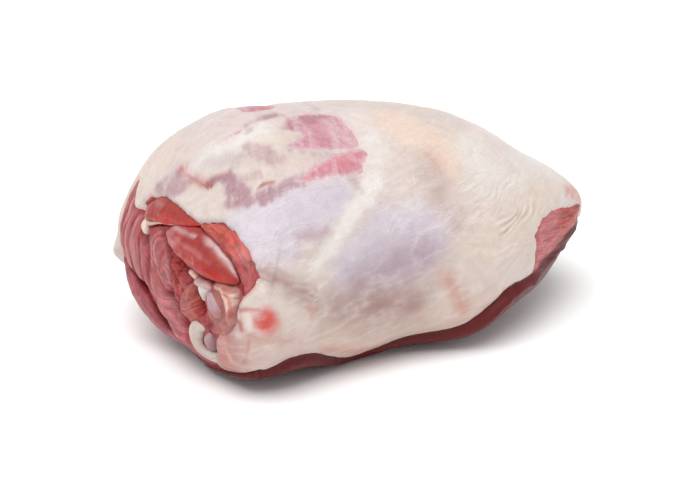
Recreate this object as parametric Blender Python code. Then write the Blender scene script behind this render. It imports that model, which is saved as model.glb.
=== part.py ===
"""Raw leg of lamb, chump off and shank off, resting on its flat inner side.

The leg lies along X, with the broad cut end at -X and the cut shank end at +X. Its rounded front is at -Y.
Three solids make it: the meat under its fat, the thigh bone that runs through it, and the stub of hip bone
left at the cut. Sizes are in millimetres, and the finished meshes are in metres.
"""
from typing import NamedTuple

import bmesh
import bpy
import numpy as np

MM = 0.001

# The meat's outline at eight places along the leg. The tightest rounding is at the two ends.
STATION_X = (-104, -89, -59, -19, 21, 61, 91, 112)
FRONT_Y = (-78, -78, -75, -77, -81, -75, -61, -46)
BACK_Y = (54, 69, 79, 80, 72, 56, 41, 28)
WIDEST_Z = (40, 36, 32, 30, 31, 38, 44, 48)
TOP_Z = (72, 92, 107.5, 105.5, 101.5, 89, 68.5, 58)
UNDERSIDE_Z = (6, 1, -2, -3, -1, 6, 17, 28)

CUT_END_X = -110.0
SHANK_END_X = 115.2
END_DEPTH = 20.0
CUT_END_POWER = 3.4
SHANK_END_POWER = 2.6
TOP_POWER = 2.15
UNDERSIDE_POWER = 2.55

# The cut end takes this share of the rows of the skin, and the shank end starts at the second share.
CUT_SHARE = 0.42
SHANK_SHARE = 0.90
ROWS = 56
COLUMNS = 72

# Muscle strands of the cut end curve around this point, one every pitch.
STRAND_CENTRE = (-23.0, 50.0)
STRAND_STRETCH = 1.35
STRAND_PITCH = 11.0
STRAND_DEPTH = 1.3
STRAND_FIRST_Y = -6.0

# The cut across the shank is a shallow facet on the front.
SHANK_CUT_CENTRE = (82.0, -66.0, 37.0)
SHANK_CUT_RADII = (27.0, 26.0, 22.0)
SHANK_CUT_DEPTH = 3.0

# The lower front swells and draws in along the leg, where the fat rolls under.
ROLL_PITCH = 60.0
ROLL_SWELL_X = -45.0
ROLL_HEIGHT = 1.6

BONE_GAP = 0.3
BONE_COLUMNS = 16


class Ridge(NamedTuple):
    """A raised or sunken line on the cut end: height, half width, and its points as (y, z)."""

    height: float
    half_width: float
    points: tuple


CUT_END_RIDGES = {
    "cap_muscle": Ridge(3.0, 6.5, ((24, 68), (8, 71), (-10, 70), (-24, 72))),
    "seam_over_tongue": Ridge(-3.2, 3.4, ((13, 55), (12, 61), (-4, 65), (-18, 69), (-44, 70), (-58, 65))),
    "tongue_muscle": Ridge(4.0, 8.0, ((6, 57), (-10, 60), (-26, 61), (-44, 61), (-59, 57))),
    "rim_muscle": Ridge(2.2, 5.2, ((-28, 73), (-42, 74), (-56, 69), (-66, 60), (-70, 54))),
    "seam_under_tongue": Ridge(-4.5, 3.6, ((-8, 50), (-24, 51), (-38, 51), (-50, 54), (-62, 53))),
    "deep_crease": Ridge(-8.0, 3.2, ((30, 36), (20, 33), (9, 29), (2, 22), (-5, 17))),
    "hollow_by_hip": Ridge(-6.0, 4.0, ((-12, 32), (-19, 30), (-26, 26))),
    "pit_by_thigh_bone": Ridge(-5.0, 3.5, ((-38, 47), (-39, 41))),
    "salmon_lobe": Ridge(3.0, 7.0, ((-28, 44), (-32, 34))),
    "flap": Ridge(3.0, 6.0, ((28, 28), (12, 21), (-4, 13), (-22, 12))),
    "back_fat_roll": Ridge(4.5, 8.0, ((53, 52), (54, 44), (48, 35))),
    "foot_fat": Ridge(2.5, 8.0, ((-70, 24), (-60, 14), (-46, 12))),
}

# The back corner of the cut end is lifted off the surface beneath it.
LIFT_HEIGHT = 20.0
LIFT_Y = (0.0, 56.0)
LIFT_X = (-68.0, -100.0)
LIFT_FADE_Z = 58.0


class Bone(NamedTuple):
    """A bone as a turned swelling form: its axis points, and its two half widths at each of them."""

    axis: tuple
    half_y: tuple
    half_z: tuple
    rows: int
    end_power: float


THIGH_BONE = Bone(
    axis=((-113, -53, 44), (-96, -50, 45), (-74, -44, 46), (-18, -30, 47), (36, -16, 46), (64, -8, 45)),
    half_y=(9.0, 9.5, 8.0, 9.0, 13.0, 14.0),
    half_z=(11.0, 11.0, 8.5, 9.0, 13.0, 14.0),
    rows=22,
    end_power=4.0,
)
HIP_BONE = Bone(
    axis=((-112, -36, 22), (-102, -35, 22), (-90, -33, 24)),
    half_y=(12.0, 11.5, 8.0),
    half_z=(10.0, 10.0, 7.0),
    rows=12,
    end_power=3.4,
)
MARROW_CENTRE = (-41.0, 23.0)
MARROW_RADIUS = 4.5
MARROW_DEPTH = 2.5


def clear_scene():
    """Remove whatever the scene holds."""
    for item in list(bpy.data.objects):
        bpy.data.objects.remove(item, do_unlink=True)


def along(places, values, x):
    """Read a smooth curve through the given values: a cubic that keeps the mean slope at each place."""
    places = np.asarray(places, float)
    values = np.asarray(values, float)
    slopes = np.gradient(values, places)
    x = np.clip(x, places[0], places[-1])
    index = np.clip(np.searchsorted(places, x) - 1, 0, len(places) - 2)
    span = places[index + 1] - places[index]
    u = (x - places[index]) / span
    start = (1 + 2 * u) * (1 - u) ** 2 * values[index] + u * (1 - u) ** 2 * span * slopes[index]
    end = u * u * (3 - 2 * u) * values[index + 1] - u * u * (1 - u) * span * slopes[index + 1]
    return start + end


def leg_profile(t):
    """Give x and the share of full girth at share t of the skin, from the cut end to the shank end."""
    cut = np.clip(t / CUT_SHARE, 0, 1) ** (CUT_END_POWER / 2) * np.pi / 2
    shank = np.clip((1 - t) / (1 - SHANK_SHARE), 0, 1) ** (SHANK_END_POWER / 2) * np.pi / 2
    cut_x = CUT_END_X + END_DEPTH * (1 - np.cos(cut) ** (2 / CUT_END_POWER))
    shank_x = SHANK_END_X - END_DEPTH * (1 - np.cos(shank) ** (2 / SHANK_END_POWER))
    middle = np.clip((t - CUT_SHARE) / (SHANK_SHARE - CUT_SHARE), 0, 1)
    middle_x = (CUT_END_X + END_DEPTH) * (1 - middle) + (SHANK_END_X - END_DEPTH) * middle
    x = np.where(t < CUT_SHARE, cut_x, np.where(t > SHANK_SHARE, shank_x, middle_x))
    girth = np.sin(cut) ** (2 / CUT_END_POWER) * np.sin(shank) ** (2 / SHANK_END_POWER)
    return x, girth


def leg_form(t, phi):
    """Give the smooth form's point at share t and at angle phi, which is 0 at the front and 90 at the top."""
    x, girth = leg_profile(t)
    front, back, widest, top, underside = (
        along(STATION_X, values, x) for values in (FRONT_Y, BACK_Y, WIDEST_Z, TOP_Z, UNDERSIDE_Z)
    )
    upper = np.sin(phi) > 0
    power = 2 / np.where(upper, TOP_POWER, UNDERSIDE_POWER)
    across = -np.sign(np.cos(phi)) * np.abs(np.cos(phi)) ** power
    upward = np.abs(np.sin(phi)) ** power * np.where(upper, top - widest, underside - widest)
    y = (front + back) / 2 + girth * across * (back - front) / 2
    mid_z = (top + underside) / 2
    z = mid_z + girth * (widest + upward - mid_z)
    return np.stack([x, y, z], axis=-1)


def outward(t, phi):
    """Give the form's unit normals, from its slopes along t and phi."""
    step = 1e-3
    inner = np.clip(t, 2 * step, 1 - 2 * step)
    along_t = leg_form(inner + step, phi) - leg_form(inner - step, phi)
    along_phi = leg_form(inner, phi + step) - leg_form(inner, phi - step)
    normal = np.cross(along_t, along_phi)
    return normal / np.linalg.norm(normal, axis=-1, keepdims=True)


def distance_to_line(y, z, points):
    """Give the distance in the cut's plane from (y, z) to the nearest stretch of a line of points."""
    nearest = np.full(np.shape(y), np.inf)
    for (y0, z0), (y1, z1) in zip(points, points[1:]):
        span = (y1 - y0) ** 2 + (z1 - z0) ** 2
        share = np.clip(((y - y0) * (y1 - y0) + (z - z0) * (z1 - z0)) / span, 0, 1)
        nearest = np.minimum(nearest, np.hypot(y - y0 - share * (y1 - y0), z - z0 - share * (z1 - z0)))
    return nearest


def bell(distance):
    """Give a smooth bump: 1 at distance 0 and nearly 0 past distance 2."""
    return np.exp(-distance * distance)


def cut_end_relief(y, z):
    """Give the height of the cut end's muscles, seams and hollows above the smooth form."""
    height = np.zeros_like(y)
    for ridge in CUT_END_RIDGES.values():
        height += ridge.height * bell(distance_to_line(y, z, ridge.points) / ridge.half_width)
    ring = np.hypot((y - STRAND_CENTRE[0]) / STRAND_STRETCH, z - STRAND_CENTRE[1])
    in_strands = np.clip((y - STRAND_FIRST_Y) / STRAND_PITCH, 0, 1)
    return height + in_strands * STRAND_DEPTH * np.cos(2 * np.pi * ring / STRAND_PITCH)


def side_relief(points):
    """Give the height of the shank's cut and of the rolls along the lower front."""
    offset = (points - np.array(SHANK_CUT_CENTRE)) / np.array(SHANK_CUT_RADII)
    shank_cut = -SHANK_CUT_DEPTH * bell(np.linalg.norm(offset, axis=-1) ** 2)
    wave = np.cos(2 * np.pi * (points[:, 0] - ROLL_SWELL_X) / ROLL_PITCH)
    low_front = bell((points[:, 2] - 12) / 14) * np.clip(-points[:, 1] / 60, 0, 1)
    return shank_cut + ROLL_HEIGHT * wave * low_front


def ramp(value, start, end):
    """Give a share that rises smoothly from 0 at start to 1 at end."""
    share = np.clip((value - start) / (end - start), 0, 1)
    return share * share * (3 - 2 * share)


def lift_corner(points):
    """Raise the underside at the back of the cut end, less and less up to the height where the lift ends."""
    lift = LIFT_HEIGHT * ramp(points[:, 1], *LIFT_Y) * ramp(points[:, 0], *LIFT_X)
    points[:, 2] += lift * np.clip(1 - points[:, 2] / LIFT_FADE_Z, 0, 1)
    return points


def shape_leg(directions):
    """Carry the points of a unit sphere with its poles on Z to the leg's skin, in millimetres."""
    t = np.arccos(np.clip(directions[:, 2], -1, 1)) / np.pi
    phi = np.arctan2(directions[:, 1], directions[:, 0])
    points = lift_corner(leg_form(t, phi))
    normal = outward(t, phi)
    faces_cut = np.clip((-normal[:, 0] - 0.30) / 0.45, 0, 1) ** 1.5
    relief = faces_cut * cut_end_relief(points[:, 1], points[:, 2]) + side_relief(points)
    points += normal * relief[:, None]
    points[:, 2] = np.maximum(points[:, 2], 0)
    return points


def shape_bone(directions, bone, swell=0.0):
    """Carry a unit sphere's points to a bone, grown all over by swell, in millimetres."""
    t = np.arccos(np.clip(directions[:, 2], -1, 1)) / np.pi
    phi = np.arctan2(directions[:, 1], directions[:, 0])
    axis = np.array(bone.axis, float)
    run = np.concatenate([[0], np.cumsum(np.linalg.norm(np.diff(axis, axis=0), axis=1))])
    turn = t * np.pi
    place = (1 - np.sign(np.cos(turn)) * np.abs(np.cos(turn)) ** (2 / bone.end_power)) / 2
    girth = np.sin(turn) ** (2 / bone.end_power)
    centre = np.stack([along(run, axis[:, k], place * run[-1]) for k in range(3)], axis=-1)
    centre[:, 0] += swell * (2 * place - 1)
    half_y = along(run, bone.half_y, place * run[-1]) + swell
    half_z = along(run, bone.half_z, place * run[-1]) + swell
    centre[:, 1] -= girth * half_y * np.cos(phi)
    centre[:, 2] += girth * half_z * np.sin(phi)
    return centre


def dish_marrow(points):
    """Sink the marrow into the sawn end of the hip bone, off its middle, so that a C of hard bone stands."""
    reach = np.hypot(points[:, 1] - MARROW_CENTRE[0], points[:, 2] - MARROW_CENTRE[1]) / MARROW_RADIUS
    at_end = np.clip((HIP_BONE.axis[1][0] - points[:, 0]) / 4, 0, 1)
    points[:, 0] += MARROW_DEPTH * at_end * bell(reach ** 2)
    return points


def sphere_mesh(name, columns, rows, carry):
    """Make a mesh from a UV sphere whose points are carried to their places by a function."""
    bm = bmesh.new()
    bmesh.ops.create_uvsphere(bm, u_segments=columns, v_segments=rows, radius=1)
    directions = np.array([vertex.co for vertex in bm.verts])
    for vertex, place in zip(bm.verts, carry(directions) * MM):
        vertex.co = place
    mesh = bpy.data.meshes.new(name)
    bm.to_mesh(mesh)
    bm.free()
    mesh.shade_smooth()
    return mesh


def material(name, colour, roughness):
    """Make a plain material."""
    finish = bpy.data.materials.new(name)
    finish.use_nodes = True
    shader = finish.node_tree.nodes["Principled BSDF"]
    shader.inputs["Base Color"].default_value = (*colour, 1)
    shader.inputs["Roughness"].default_value = roughness
    shader.inputs["Metallic"].default_value = 0
    return finish


def add_object(name, mesh, collection, finish=None):
    """Put a mesh into a collection as an object, with its material."""
    item = bpy.data.objects.new(name, mesh)
    collection.objects.link(item)
    if finish:
        mesh.materials.append(finish)
    return item


def add_socket(meat, name, mesh, cutters):
    """Cut a bone's socket out of the meat, with a cutter that stays hidden in renders."""
    cutter = add_object(name, mesh, cutters)
    cutter.hide_render = True
    cutter.display_type = "WIRE"
    cut = meat.modifiers.new(name, "BOOLEAN")
    cut.operation = "DIFFERENCE"
    cut.solver = "EXACT"
    cut.object = cutter


def new_collection(name):
    """Add a collection to the scene."""
    collection = bpy.data.collections.new(name)
    bpy.context.scene.collection.children.link(collection)
    return collection


def build_bone(name, bone, parts, finish, dished=False):
    """Build a bone's solid."""
    def carry(directions):
        points = shape_bone(directions, bone)
        return dish_marrow(points) if dished else points

    return add_object(name, sphere_mesh(name, BONE_COLUMNS, bone.rows, carry), parts, finish)


def build_socket(meat, name, bone, cutters):
    """Cut the room for a bone, larger than the bone by the gap."""
    def carry(directions):
        return shape_bone(directions, bone, swell=BONE_GAP)

    add_socket(meat, name, sphere_mesh(name, BONE_COLUMNS, bone.rows, carry), cutters)


def main():
    """Build the leg."""
    clear_scene()
    parts = new_collection("raw_leg_of_lamb")
    cutters = new_collection("cutters")
    meat_finish = material("lamb_meat_and_fat", (0.72, 0.50, 0.47), 0.42)
    bone_finish = material("fresh_bone", (0.70, 0.62, 0.60), 0.38)

    meat = add_object("leg_meat", sphere_mesh("leg_meat", COLUMNS, ROWS, shape_leg), parts, meat_finish)
    build_bone("thigh_bone", THIGH_BONE, parts, bone_finish)
    build_bone("hip_bone", HIP_BONE, parts, bone_finish, dished=True)
    build_socket(meat, "thigh_bone_socket", THIGH_BONE, cutters)
    build_socket(meat, "hip_bone_socket", HIP_BONE, cutters)


main()
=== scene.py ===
"""Looks of a raw leg of lamb: the lean, its cover of fat, the cut muscles and the bone ends, in a plain studio.

Lengths are millimetres unless a name says otherwise, and meshes are written in metres. The leg lies along X, with its
broad cut end at -X and its rounded front at -Y, and it rests on Z = 0. Two flat maps place the markings:
the skin map (u, v) is the distance along the leg and the distance round it from the front line, and
the cut map (q, z) looks at the cut end from outside, with q to the right, which is -Y, and z up.
"""
import itertools
import logging
import math
from dataclasses import dataclass
from enum import Enum
from typing import Any, NamedTuple, Sequence

import bpy
import numpy as np
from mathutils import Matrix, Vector


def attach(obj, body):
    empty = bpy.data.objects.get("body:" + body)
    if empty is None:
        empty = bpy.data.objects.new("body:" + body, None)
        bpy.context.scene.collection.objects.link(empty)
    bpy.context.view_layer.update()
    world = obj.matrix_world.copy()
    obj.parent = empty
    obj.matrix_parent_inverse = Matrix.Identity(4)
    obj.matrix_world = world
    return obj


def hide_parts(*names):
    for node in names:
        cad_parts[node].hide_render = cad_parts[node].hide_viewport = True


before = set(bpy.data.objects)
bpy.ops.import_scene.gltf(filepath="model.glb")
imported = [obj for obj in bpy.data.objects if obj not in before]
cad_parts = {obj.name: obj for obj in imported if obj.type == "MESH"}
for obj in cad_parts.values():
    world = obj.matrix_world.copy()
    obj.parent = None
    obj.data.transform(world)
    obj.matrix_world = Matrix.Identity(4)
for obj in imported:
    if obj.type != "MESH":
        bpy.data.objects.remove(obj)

Array = np.ndarray
MM = 0.001
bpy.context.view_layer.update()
LOG = logging.getLogger("leg_of_lamb")


class Paint(Enum):
    """The colours of the tissues, as sRGB hex values."""

    CREAM_FAT = "#e2d2c8"
    PALE_FAT = "#f3ebe6"
    ROSY_FAT = "#e3d1cf"
    WARM_FAT = "#ead6c6"
    FIRM_FAT = "#d4b3a5"
    YELLOW_FAT = "#e3d3b8"
    PEACH = "#f4d9c8"
    BROWN_PINK = "#ab857d"
    WARM_BLUSH = "#d08b7d"
    LILAC = "#ddd2dd"
    LILAC_SHADE = "#b096a3"
    # Pale membrane wisps, laid whiter than the membrane as painted glints on their raised folds.
    WISP = "#f8f1ef"
    MAUVE = "#b98f9a"
    MAUVE_DARK = "#8f5f6b"
    WINDOW_LEAN = "#dc9ca9"
    WINDOW_DEEP = "#c27d8a"
    WINDOW_STREAK = "#f0d3d8"
    STRIP_LEAN = "#e2909c"
    STAIN = "#dc4438"
    LEAN = "#b85256"
    LEAN_BRIGHT = "#c03a32"
    LEAN_ORANGE = "#cc6054"
    LEAN_DEEP = "#a0181e"
    LEAN_MAUVE = "#c8767a"
    LEAN_PALE = "#d8999b"
    LEAN_SALMON = "#c4685c"
    SHANK_LEAN = "#d6757a"
    CAP = "#ac352f"
    ROSY_LEAN = "#bd7a72"
    FLAP = "#b0565e"
    HOLLOW = "#84080f"
    PIT = "#bc080b"
    # Dark red lean of the hidden underside, darkened further as painted shade where the leg turns under and rests.
    UNDERSIDE = "#6a0408"
    # Pale silverskin, laid along the tops of the muscles as painted sheen.
    SILVERSKIN = "#e4c0bf"
    BONE_WHITE = "#d2c1b7"
    BONE_LILAC = "#c29ea5"
    MARROW = "#8f5c60"
    GRISTLE = "#fbdccc"
    FLOOR = "#ffffff"


def linear(paint: Paint) -> Array:
    """Turn a paint's sRGB hex value into linear red, green and blue.

    Args:
        paint: the colour to turn.

    Returns:
        Three numbers from 0 to 1.
    """
    digits = paint.value.lstrip("#")
    srgb = np.array([int(digits[k:k + 2], 16) / 255 for k in (0, 2, 4)])
    return np.where(srgb <= 0.04045, srgb / 12.92, ((srgb + 0.055) / 1.055) ** 2.4)


def ramp(value: Array, start: float, end: float) -> Array:
    """Rise smoothly from 0 at start to 1 at end: the cubic 3s^2 - 2s^3 of the clipped share s."""
    share = np.clip((value - start) / (end - start), 0, 1)
    return share * share * (3 - 2 * share)


def bell(distance: Array) -> Array:
    """Give the smooth bump exp(-d^2)."""
    return np.exp(-distance * distance)


def along(places: Sequence[float], values: Sequence[float], x: Array) -> Array:
    """Read a smooth curve through the given values: a cubic that keeps the mean slope at each place.

    Args:
        places: where the values are known, rising.
        values: the known values.
        x: where to read the curve.

    Returns:
        The curve's value at each x, held at its ends.
    """
    at = np.asarray(places, float)
    known = np.asarray(values, float)
    slopes = np.gradient(known, at)
    x = np.clip(x, at[0], at[-1])
    index = np.clip(np.searchsorted(at, x) - 1, 0, len(at) - 2)
    span = at[index + 1] - at[index]
    u = (x - at[index]) / span
    start = (1 + 2 * u) * (1 - u) ** 2 * known[index] + u * (1 - u) ** 2 * span * slopes[index]
    end = u * u * (3 - 2 * u) * known[index + 1] - u * u * (1 - u) * span * slopes[index + 1]
    return start + end


def lattice_random(cells: Array, seed: int) -> Array:
    """Give each whole-number lattice cell its own number from -1 to 1, the same on every run."""
    mixed = (cells[..., 0] * 374761393 + cells[..., 1] * 668265263 + cells[..., 2] * 1103515245
             + seed * 362437) & 0xFFFFFFFF
    mixed = ((mixed ^ (mixed >> 13)) * 1274126177) & 0xFFFFFFFF
    return ((mixed ^ (mixed >> 16)) & 0xFFFF) / 32767.5 - 1


def noise(points: Array, size: Any, seed: int, octaves: int = 1) -> Array:
    """Give smooth random values: lattice numbers blended with a cubic, each octave half as large and strong.

    Args:
        points: places, with three coordinates in the last axis.
        size: the lattice spacing, one number or one for each axis.
        seed: picks the pattern.
        octaves: how many layers are summed.

    Returns:
        Values from about -1 to 1.
    """
    total = np.zeros(points.shape[:-1])
    for octave in range(octaves):
        place = points / (np.asarray(size, float) / 2 ** octave)
        cell = np.floor(place).astype(np.int64)
        part = place - cell
        part = part * part * (3 - 2 * part)
        for corner in itertools.product((0, 1), repeat=3):
            share = np.prod(np.where(corner, part, 1 - part), axis=-1)
            total += 0.5 ** octave * share * lattice_random(cell + np.array(corner), seed + 31 * octave)
    return total / (2 - 0.5 ** (octaves - 1))


def flat_noise(a: Array, b: Array, size: Any, seed: int, octaves: int = 1) -> Array:
    """Give smooth random values over a flat map."""
    return noise(np.stack([a, b, np.zeros_like(a)], axis=-1), (*size, 1.0), seed, octaves)


class Trail(NamedTuple):
    """A band on a map: its middle line as points, and its half width at each of them."""

    line: Sequence[tuple[float, float]]
    half: Sequence[float]

    def inside(self, a: Array, b: Array) -> Array:
        """Give how far inside the band each place is: half width minus distance, largest over the stretches.

        Args:
            a: first map coordinate.
            b: second map coordinate.

        Returns:
            Millimetres, negative outside.
        """
        best = np.full(a.shape, -np.inf)
        points = list(zip(self.line, self.half))
        for ((a0, b0), h0), ((a1, b1), h1) in zip(points, points[1:]):
            span = (a1 - a0) ** 2 + (b1 - b0) ** 2
            share = np.clip(((a - a0) * (a1 - a0) + (b - b0) * (b1 - b0)) / span, 0, 1)
            gap = np.hypot(a - a0 - share * (a1 - a0), b - b0 - share * (b1 - b0))
            best = np.maximum(best, h0 + share * (h1 - h0) - gap)
        return best


def inside_outline(corners: Sequence[tuple[float, float]], a: Array, b: Array) -> Array:
    """Give the signed distance to a closed outline of straight sides.

    The distance is the least over the sides, and its sign comes from counting the sides to the right of the place.

    Args:
        corners: the outline's corners in order.
        a: first map coordinate.
        b: second map coordinate.

    Returns:
        Millimetres, positive inside.
    """
    nearest = np.full(a.shape, np.inf)
    crossings = np.zeros(a.shape, int)
    for (a0, b0), (a1, b1) in zip(corners, [*corners[1:], corners[0]]):
        span = (a1 - a0) ** 2 + (b1 - b0) ** 2
        share = np.clip(((a - a0) * (a1 - a0) + (b - b0) * (b1 - b0)) / span, 0, 1)
        nearest = np.minimum(nearest, np.hypot(a - a0 - share * (a1 - a0), b - b0 - share * (b1 - b0)))
        if b0 != b1:
            straddles = (b0 > b) != (b1 > b)
            crossings += straddles & (a < a0 + (b - b0) * (a1 - a0) / (b1 - b0))
    return np.where(crossings % 2 == 1, nearest, -nearest)


class Daub(NamedTuple):
    """A colour laid on a map along a trail, with a soft and ragged edge."""

    paint: Paint
    trail: Trail
    strength: float = 1.0
    soft: float = 2.0
    ragged: float = 1.0


def daub_on(tone: Array, daubs: Sequence[Daub], a: Array, b: Array, rough: Array) -> Array:
    """Lay daubs over a colour, each blended in by its strength times a smooth step of its inside distance.

    Args:
        tone: linear colours to paint over.
        daubs: what to lay, in order.
        a: first map coordinate.
        b: second map coordinate.
        rough: noise that frays the edges.

    Returns:
        The painted colours.
    """
    for daub in daubs:
        depth = daub.trail.inside(a, b) + daub.ragged * rough
        share = daub.strength * ramp(depth, -daub.soft, daub.soft)
        tone = tone + share[..., None] * (linear(daub.paint) - tone)
    return tone


@dataclass(frozen=True)
class LegForm:
    """The smooth form of the leg: sections carried along X, blunt at both ends, as the CAD solid has it."""

    station_x: tuple = (-104, -89, -59, -19, 21, 61, 91, 112)
    front_y: tuple = (-78, -78, -75, -77, -81, -75, -61, -46)
    back_y: tuple = (54, 69, 79, 80, 72, 56, 41, 28)
    widest_z: tuple = (40, 36, 32, 30, 31, 38, 44, 48)
    top_z: tuple = (72, 92, 107.5, 105.5, 101.5, 89, 68.5, 58)
    underside_z: tuple = (6, 1, -2, -3, -1, 6, 17, 28)
    cut_end_x: float = -110.0
    shank_end_x: float = 115.2
    end_depth: float = 20.0
    cut_end_power: float = 3.4
    shank_end_power: float = 2.6
    top_power: float = 2.15
    underside_power: float = 2.55
    cut_share: float = 0.42
    shank_share: float = 0.90
    lift_height: float = 20.0
    lift_y: tuple = (0.0, 56.0)
    lift_x: tuple = (-68.0, -100.0)
    lift_fade_z: float = 58.0
    roll_pitch: float = 60.0
    roll_swell_x: float = -45.0
    roll_height: float = 1.6
    shank_cut_centre: tuple = (82.0, -66.0, 37.0)
    shank_cut_radii: tuple = (27.0, 26.0, 22.0)
    shank_cut_depth: float = 3.0

    def profile(self, t: Array) -> tuple[Array, Array]:
        """Give x and the share of full girth at share t, as superellipse quarters at both ends of a straight run."""
        cut = np.clip(t / self.cut_share, 0, 1) ** (self.cut_end_power / 2) * np.pi / 2
        shank = np.clip((1 - t) / (1 - self.shank_share), 0, 1) ** (self.shank_end_power / 2) * np.pi / 2
        cut_x = self.cut_end_x + self.end_depth * (1 - np.cos(cut) ** (2 / self.cut_end_power))
        shank_x = self.shank_end_x - self.end_depth * (1 - np.cos(shank) ** (2 / self.shank_end_power))
        middle = np.clip((t - self.cut_share) / (self.shank_share - self.cut_share), 0, 1)
        straight = (self.cut_end_x + self.end_depth) * (1 - middle) + (self.shank_end_x - self.end_depth) * middle
        x = np.where(t < self.cut_share, cut_x, np.where(t > self.shank_share, shank_x, straight))
        girth = np.sin(cut) ** (2 / self.cut_end_power) * np.sin(shank) ** (2 / self.shank_end_power)
        return x, girth

    def skin(self, t: Array, phi: Array) -> Array:
        """Give the points of the skin: superellipse halves above and below the widest line, scaled by the girth.

        Args:
            t: share along the skin, from the cut end to the shank end.
            phi: angle around, 0 at the front and a quarter turn at the top.

        Returns:
            Points, with three coordinates in the last axis.
        """
        x, girth = self.profile(t)
        front, back, widest, top, underside = (along(self.station_x, values, x) for values in (
            self.front_y, self.back_y, self.widest_z, self.top_z, self.underside_z))
        upper = np.sin(phi) > 0
        power = 2 / np.where(upper, self.top_power, self.underside_power)
        across = -np.sign(np.cos(phi)) * np.abs(np.cos(phi)) ** power
        upward = np.abs(np.sin(phi)) ** power * np.where(upper, top - widest, underside - widest)
        y = (front + back) / 2 + girth * across * (back - front) / 2
        mid_z = (top + underside) / 2
        z = mid_z + girth * (widest + upward - mid_z)
        lift = self.lift_height * ramp(y, *self.lift_y) * ramp(x, *self.lift_x)
        z = z + lift * np.clip(1 - z / self.lift_fade_z, 0, 1)
        return np.stack([x + 0 * y, y, z], axis=-1)

    def rolls(self, points: Array) -> Array:
        """Give the height of the shank's cut and of the rolls along the lower front."""
        offset = (points - np.array(self.shank_cut_centre)) / np.array(self.shank_cut_radii)
        shank_cut = -self.shank_cut_depth * bell(np.linalg.norm(offset, axis=-1) ** 2)
        wave = np.cos(2 * np.pi * (points[..., 0] - self.roll_swell_x) / self.roll_pitch)
        low_front = bell((points[..., 2] - 12) / 14) * np.clip(-points[..., 1] / 60, 0, 1)
        return shank_cut + self.roll_height * wave * low_front

    def section_share(self, x: Array, y: Array, z: Array) -> Array:
        """Tell where a place lies in the section at x near the cut end: below 1 inside it and above 1 outside.

        The lift and the girth are undone, and the superellipse's two terms are summed.

        Args:
            x: where the section is.
            y: the place across the leg.
            z: its height.

        Returns:
            The sum of the terms.
        """
        girth = (1 - ((self.cut_end_x + self.end_depth - x) / self.end_depth) ** self.cut_end_power)
        girth = np.maximum(girth, 1e-9) ** (1 / self.cut_end_power)
        front, back, widest, top, underside = (along(self.station_x, values, x) for values in (
            self.front_y, self.back_y, self.widest_z, self.top_z, self.underside_z))
        lift = self.lift_height * ramp(y, *self.lift_y) * ramp(x, *self.lift_x)
        level = np.where(z < self.lift_fade_z, (z - lift) / (1 - lift / self.lift_fade_z), z)
        mid_z = (top + underside) / 2
        full_z = mid_z + (level - mid_z) / girth
        upper = full_z > widest
        power = np.where(upper, self.top_power, self.underside_power)
        across = np.abs(y - (front + back) / 2) / ((back - front) / 2 * girth)
        upward = np.abs(full_z - widest) / np.where(upper, top - widest, widest - underside)
        return across ** power + upward ** power

    def cut_face_x(self, q: Array, z: Array) -> Array:
        """Give x on the smooth cut end at a place of the cut map, by halving the range: the sections grow with x.

        Args:
            q: place to the right, which is -Y.
            z: height.

        Returns:
            The X coordinate of the skin there.
        """
        y = -np.asarray(q, float)
        low = np.full(y.shape, self.cut_end_x)
        high = low + self.end_depth
        for _ in range(16):
            middle = (low + high) / 2
            outside = self.section_share(middle, y, z) > 1
            low, high = np.where(outside, middle, low), np.where(outside, high, middle)
        return high


FORM = LegForm()


class SkinGrid(NamedTuple):
    """The form on a grid of rows along the leg and columns around it, with its normals and its map coordinates."""

    points: Array
    normals: Array
    u: Array
    v: Array
    faces_cut: Array
    seam_fade: Array


def spread_rows(cut: int, side: int, shank: int, rim_power: float) -> Array:
    """Give the rows' shares t, with the wanted numbers on the cut end, the side and the shank end.

    Args:
        cut: rows on the cut end.
        side: rows on the straight run.
        shank: rows on the shank end.
        rim_power: below 1, it crowds the rows of the cut end towards its rim.

    Returns:
        The rising shares.
    """
    return np.concatenate([
        FORM.cut_share * np.linspace(0, 1, cut, endpoint=False) ** rim_power,
        np.linspace(FORM.cut_share, FORM.shank_share, side, endpoint=False),
        np.linspace(FORM.shank_share, 1, shank),
    ])


def spread_columns(count: int, crowding: float, crowded_at: float) -> Array:
    """Give the columns' angles: an even turn minus a sine, so that they crowd around one angle."""
    turn = np.linspace(-np.pi, np.pi, count, endpoint=False)
    shift = crowding * np.sin(-crowded_at)
    return turn - crowding * np.sin(turn - crowded_at) + shift


def skin_grid(t: Array, phi: Array) -> SkinGrid:
    """Lay the form on a grid.

    The normals are the cross product of the slopes along and around. u is x, carried on over the ends by the loss of
    girth, and v is the length round the section from the front line. Patterns of u and v fade out at the back seam.

    Args:
        t: the rows' shares.
        phi: the columns' angles.

    Returns:
        The grid.
    """
    rows, columns = np.meshgrid(t, phi, indexing="ij")
    points = FORM.skin(rows, columns)
    around = np.roll(points, -1, axis=1) - np.roll(points, 1, axis=1)
    normals = np.cross(np.gradient(points, axis=0), around)
    normals[0] = (-1, 0, 0)
    normals[-1] = (1, 0, 0)
    normals /= np.linalg.norm(normals, axis=-1, keepdims=True) + 1e-12
    _, girth = FORM.profile(rows)
    over_end = np.where(rows < 0.5, -60.0, 30.0) * (1 - girth)
    steps = np.linalg.norm(np.diff(points, axis=1), axis=-1)
    length = np.concatenate([np.zeros((len(t), 1)), np.cumsum(steps, axis=1)], axis=1)
    front = int(np.searchsorted(phi, 0.0))
    share = -phi[front - 1] / (phi[front] - phi[front - 1])
    at_front = length[:, front - 1] * (1 - share) + length[:, front] * share
    faces_cut = ramp(-normals[..., 0], 0.25, 0.7)
    seam_fade = ramp(np.pi - np.abs(columns), 0.02, 0.35)
    return SkinGrid(points, normals, points[..., 0] + over_end, length - at_front[:, None], faces_cut, seam_fade)


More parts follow.
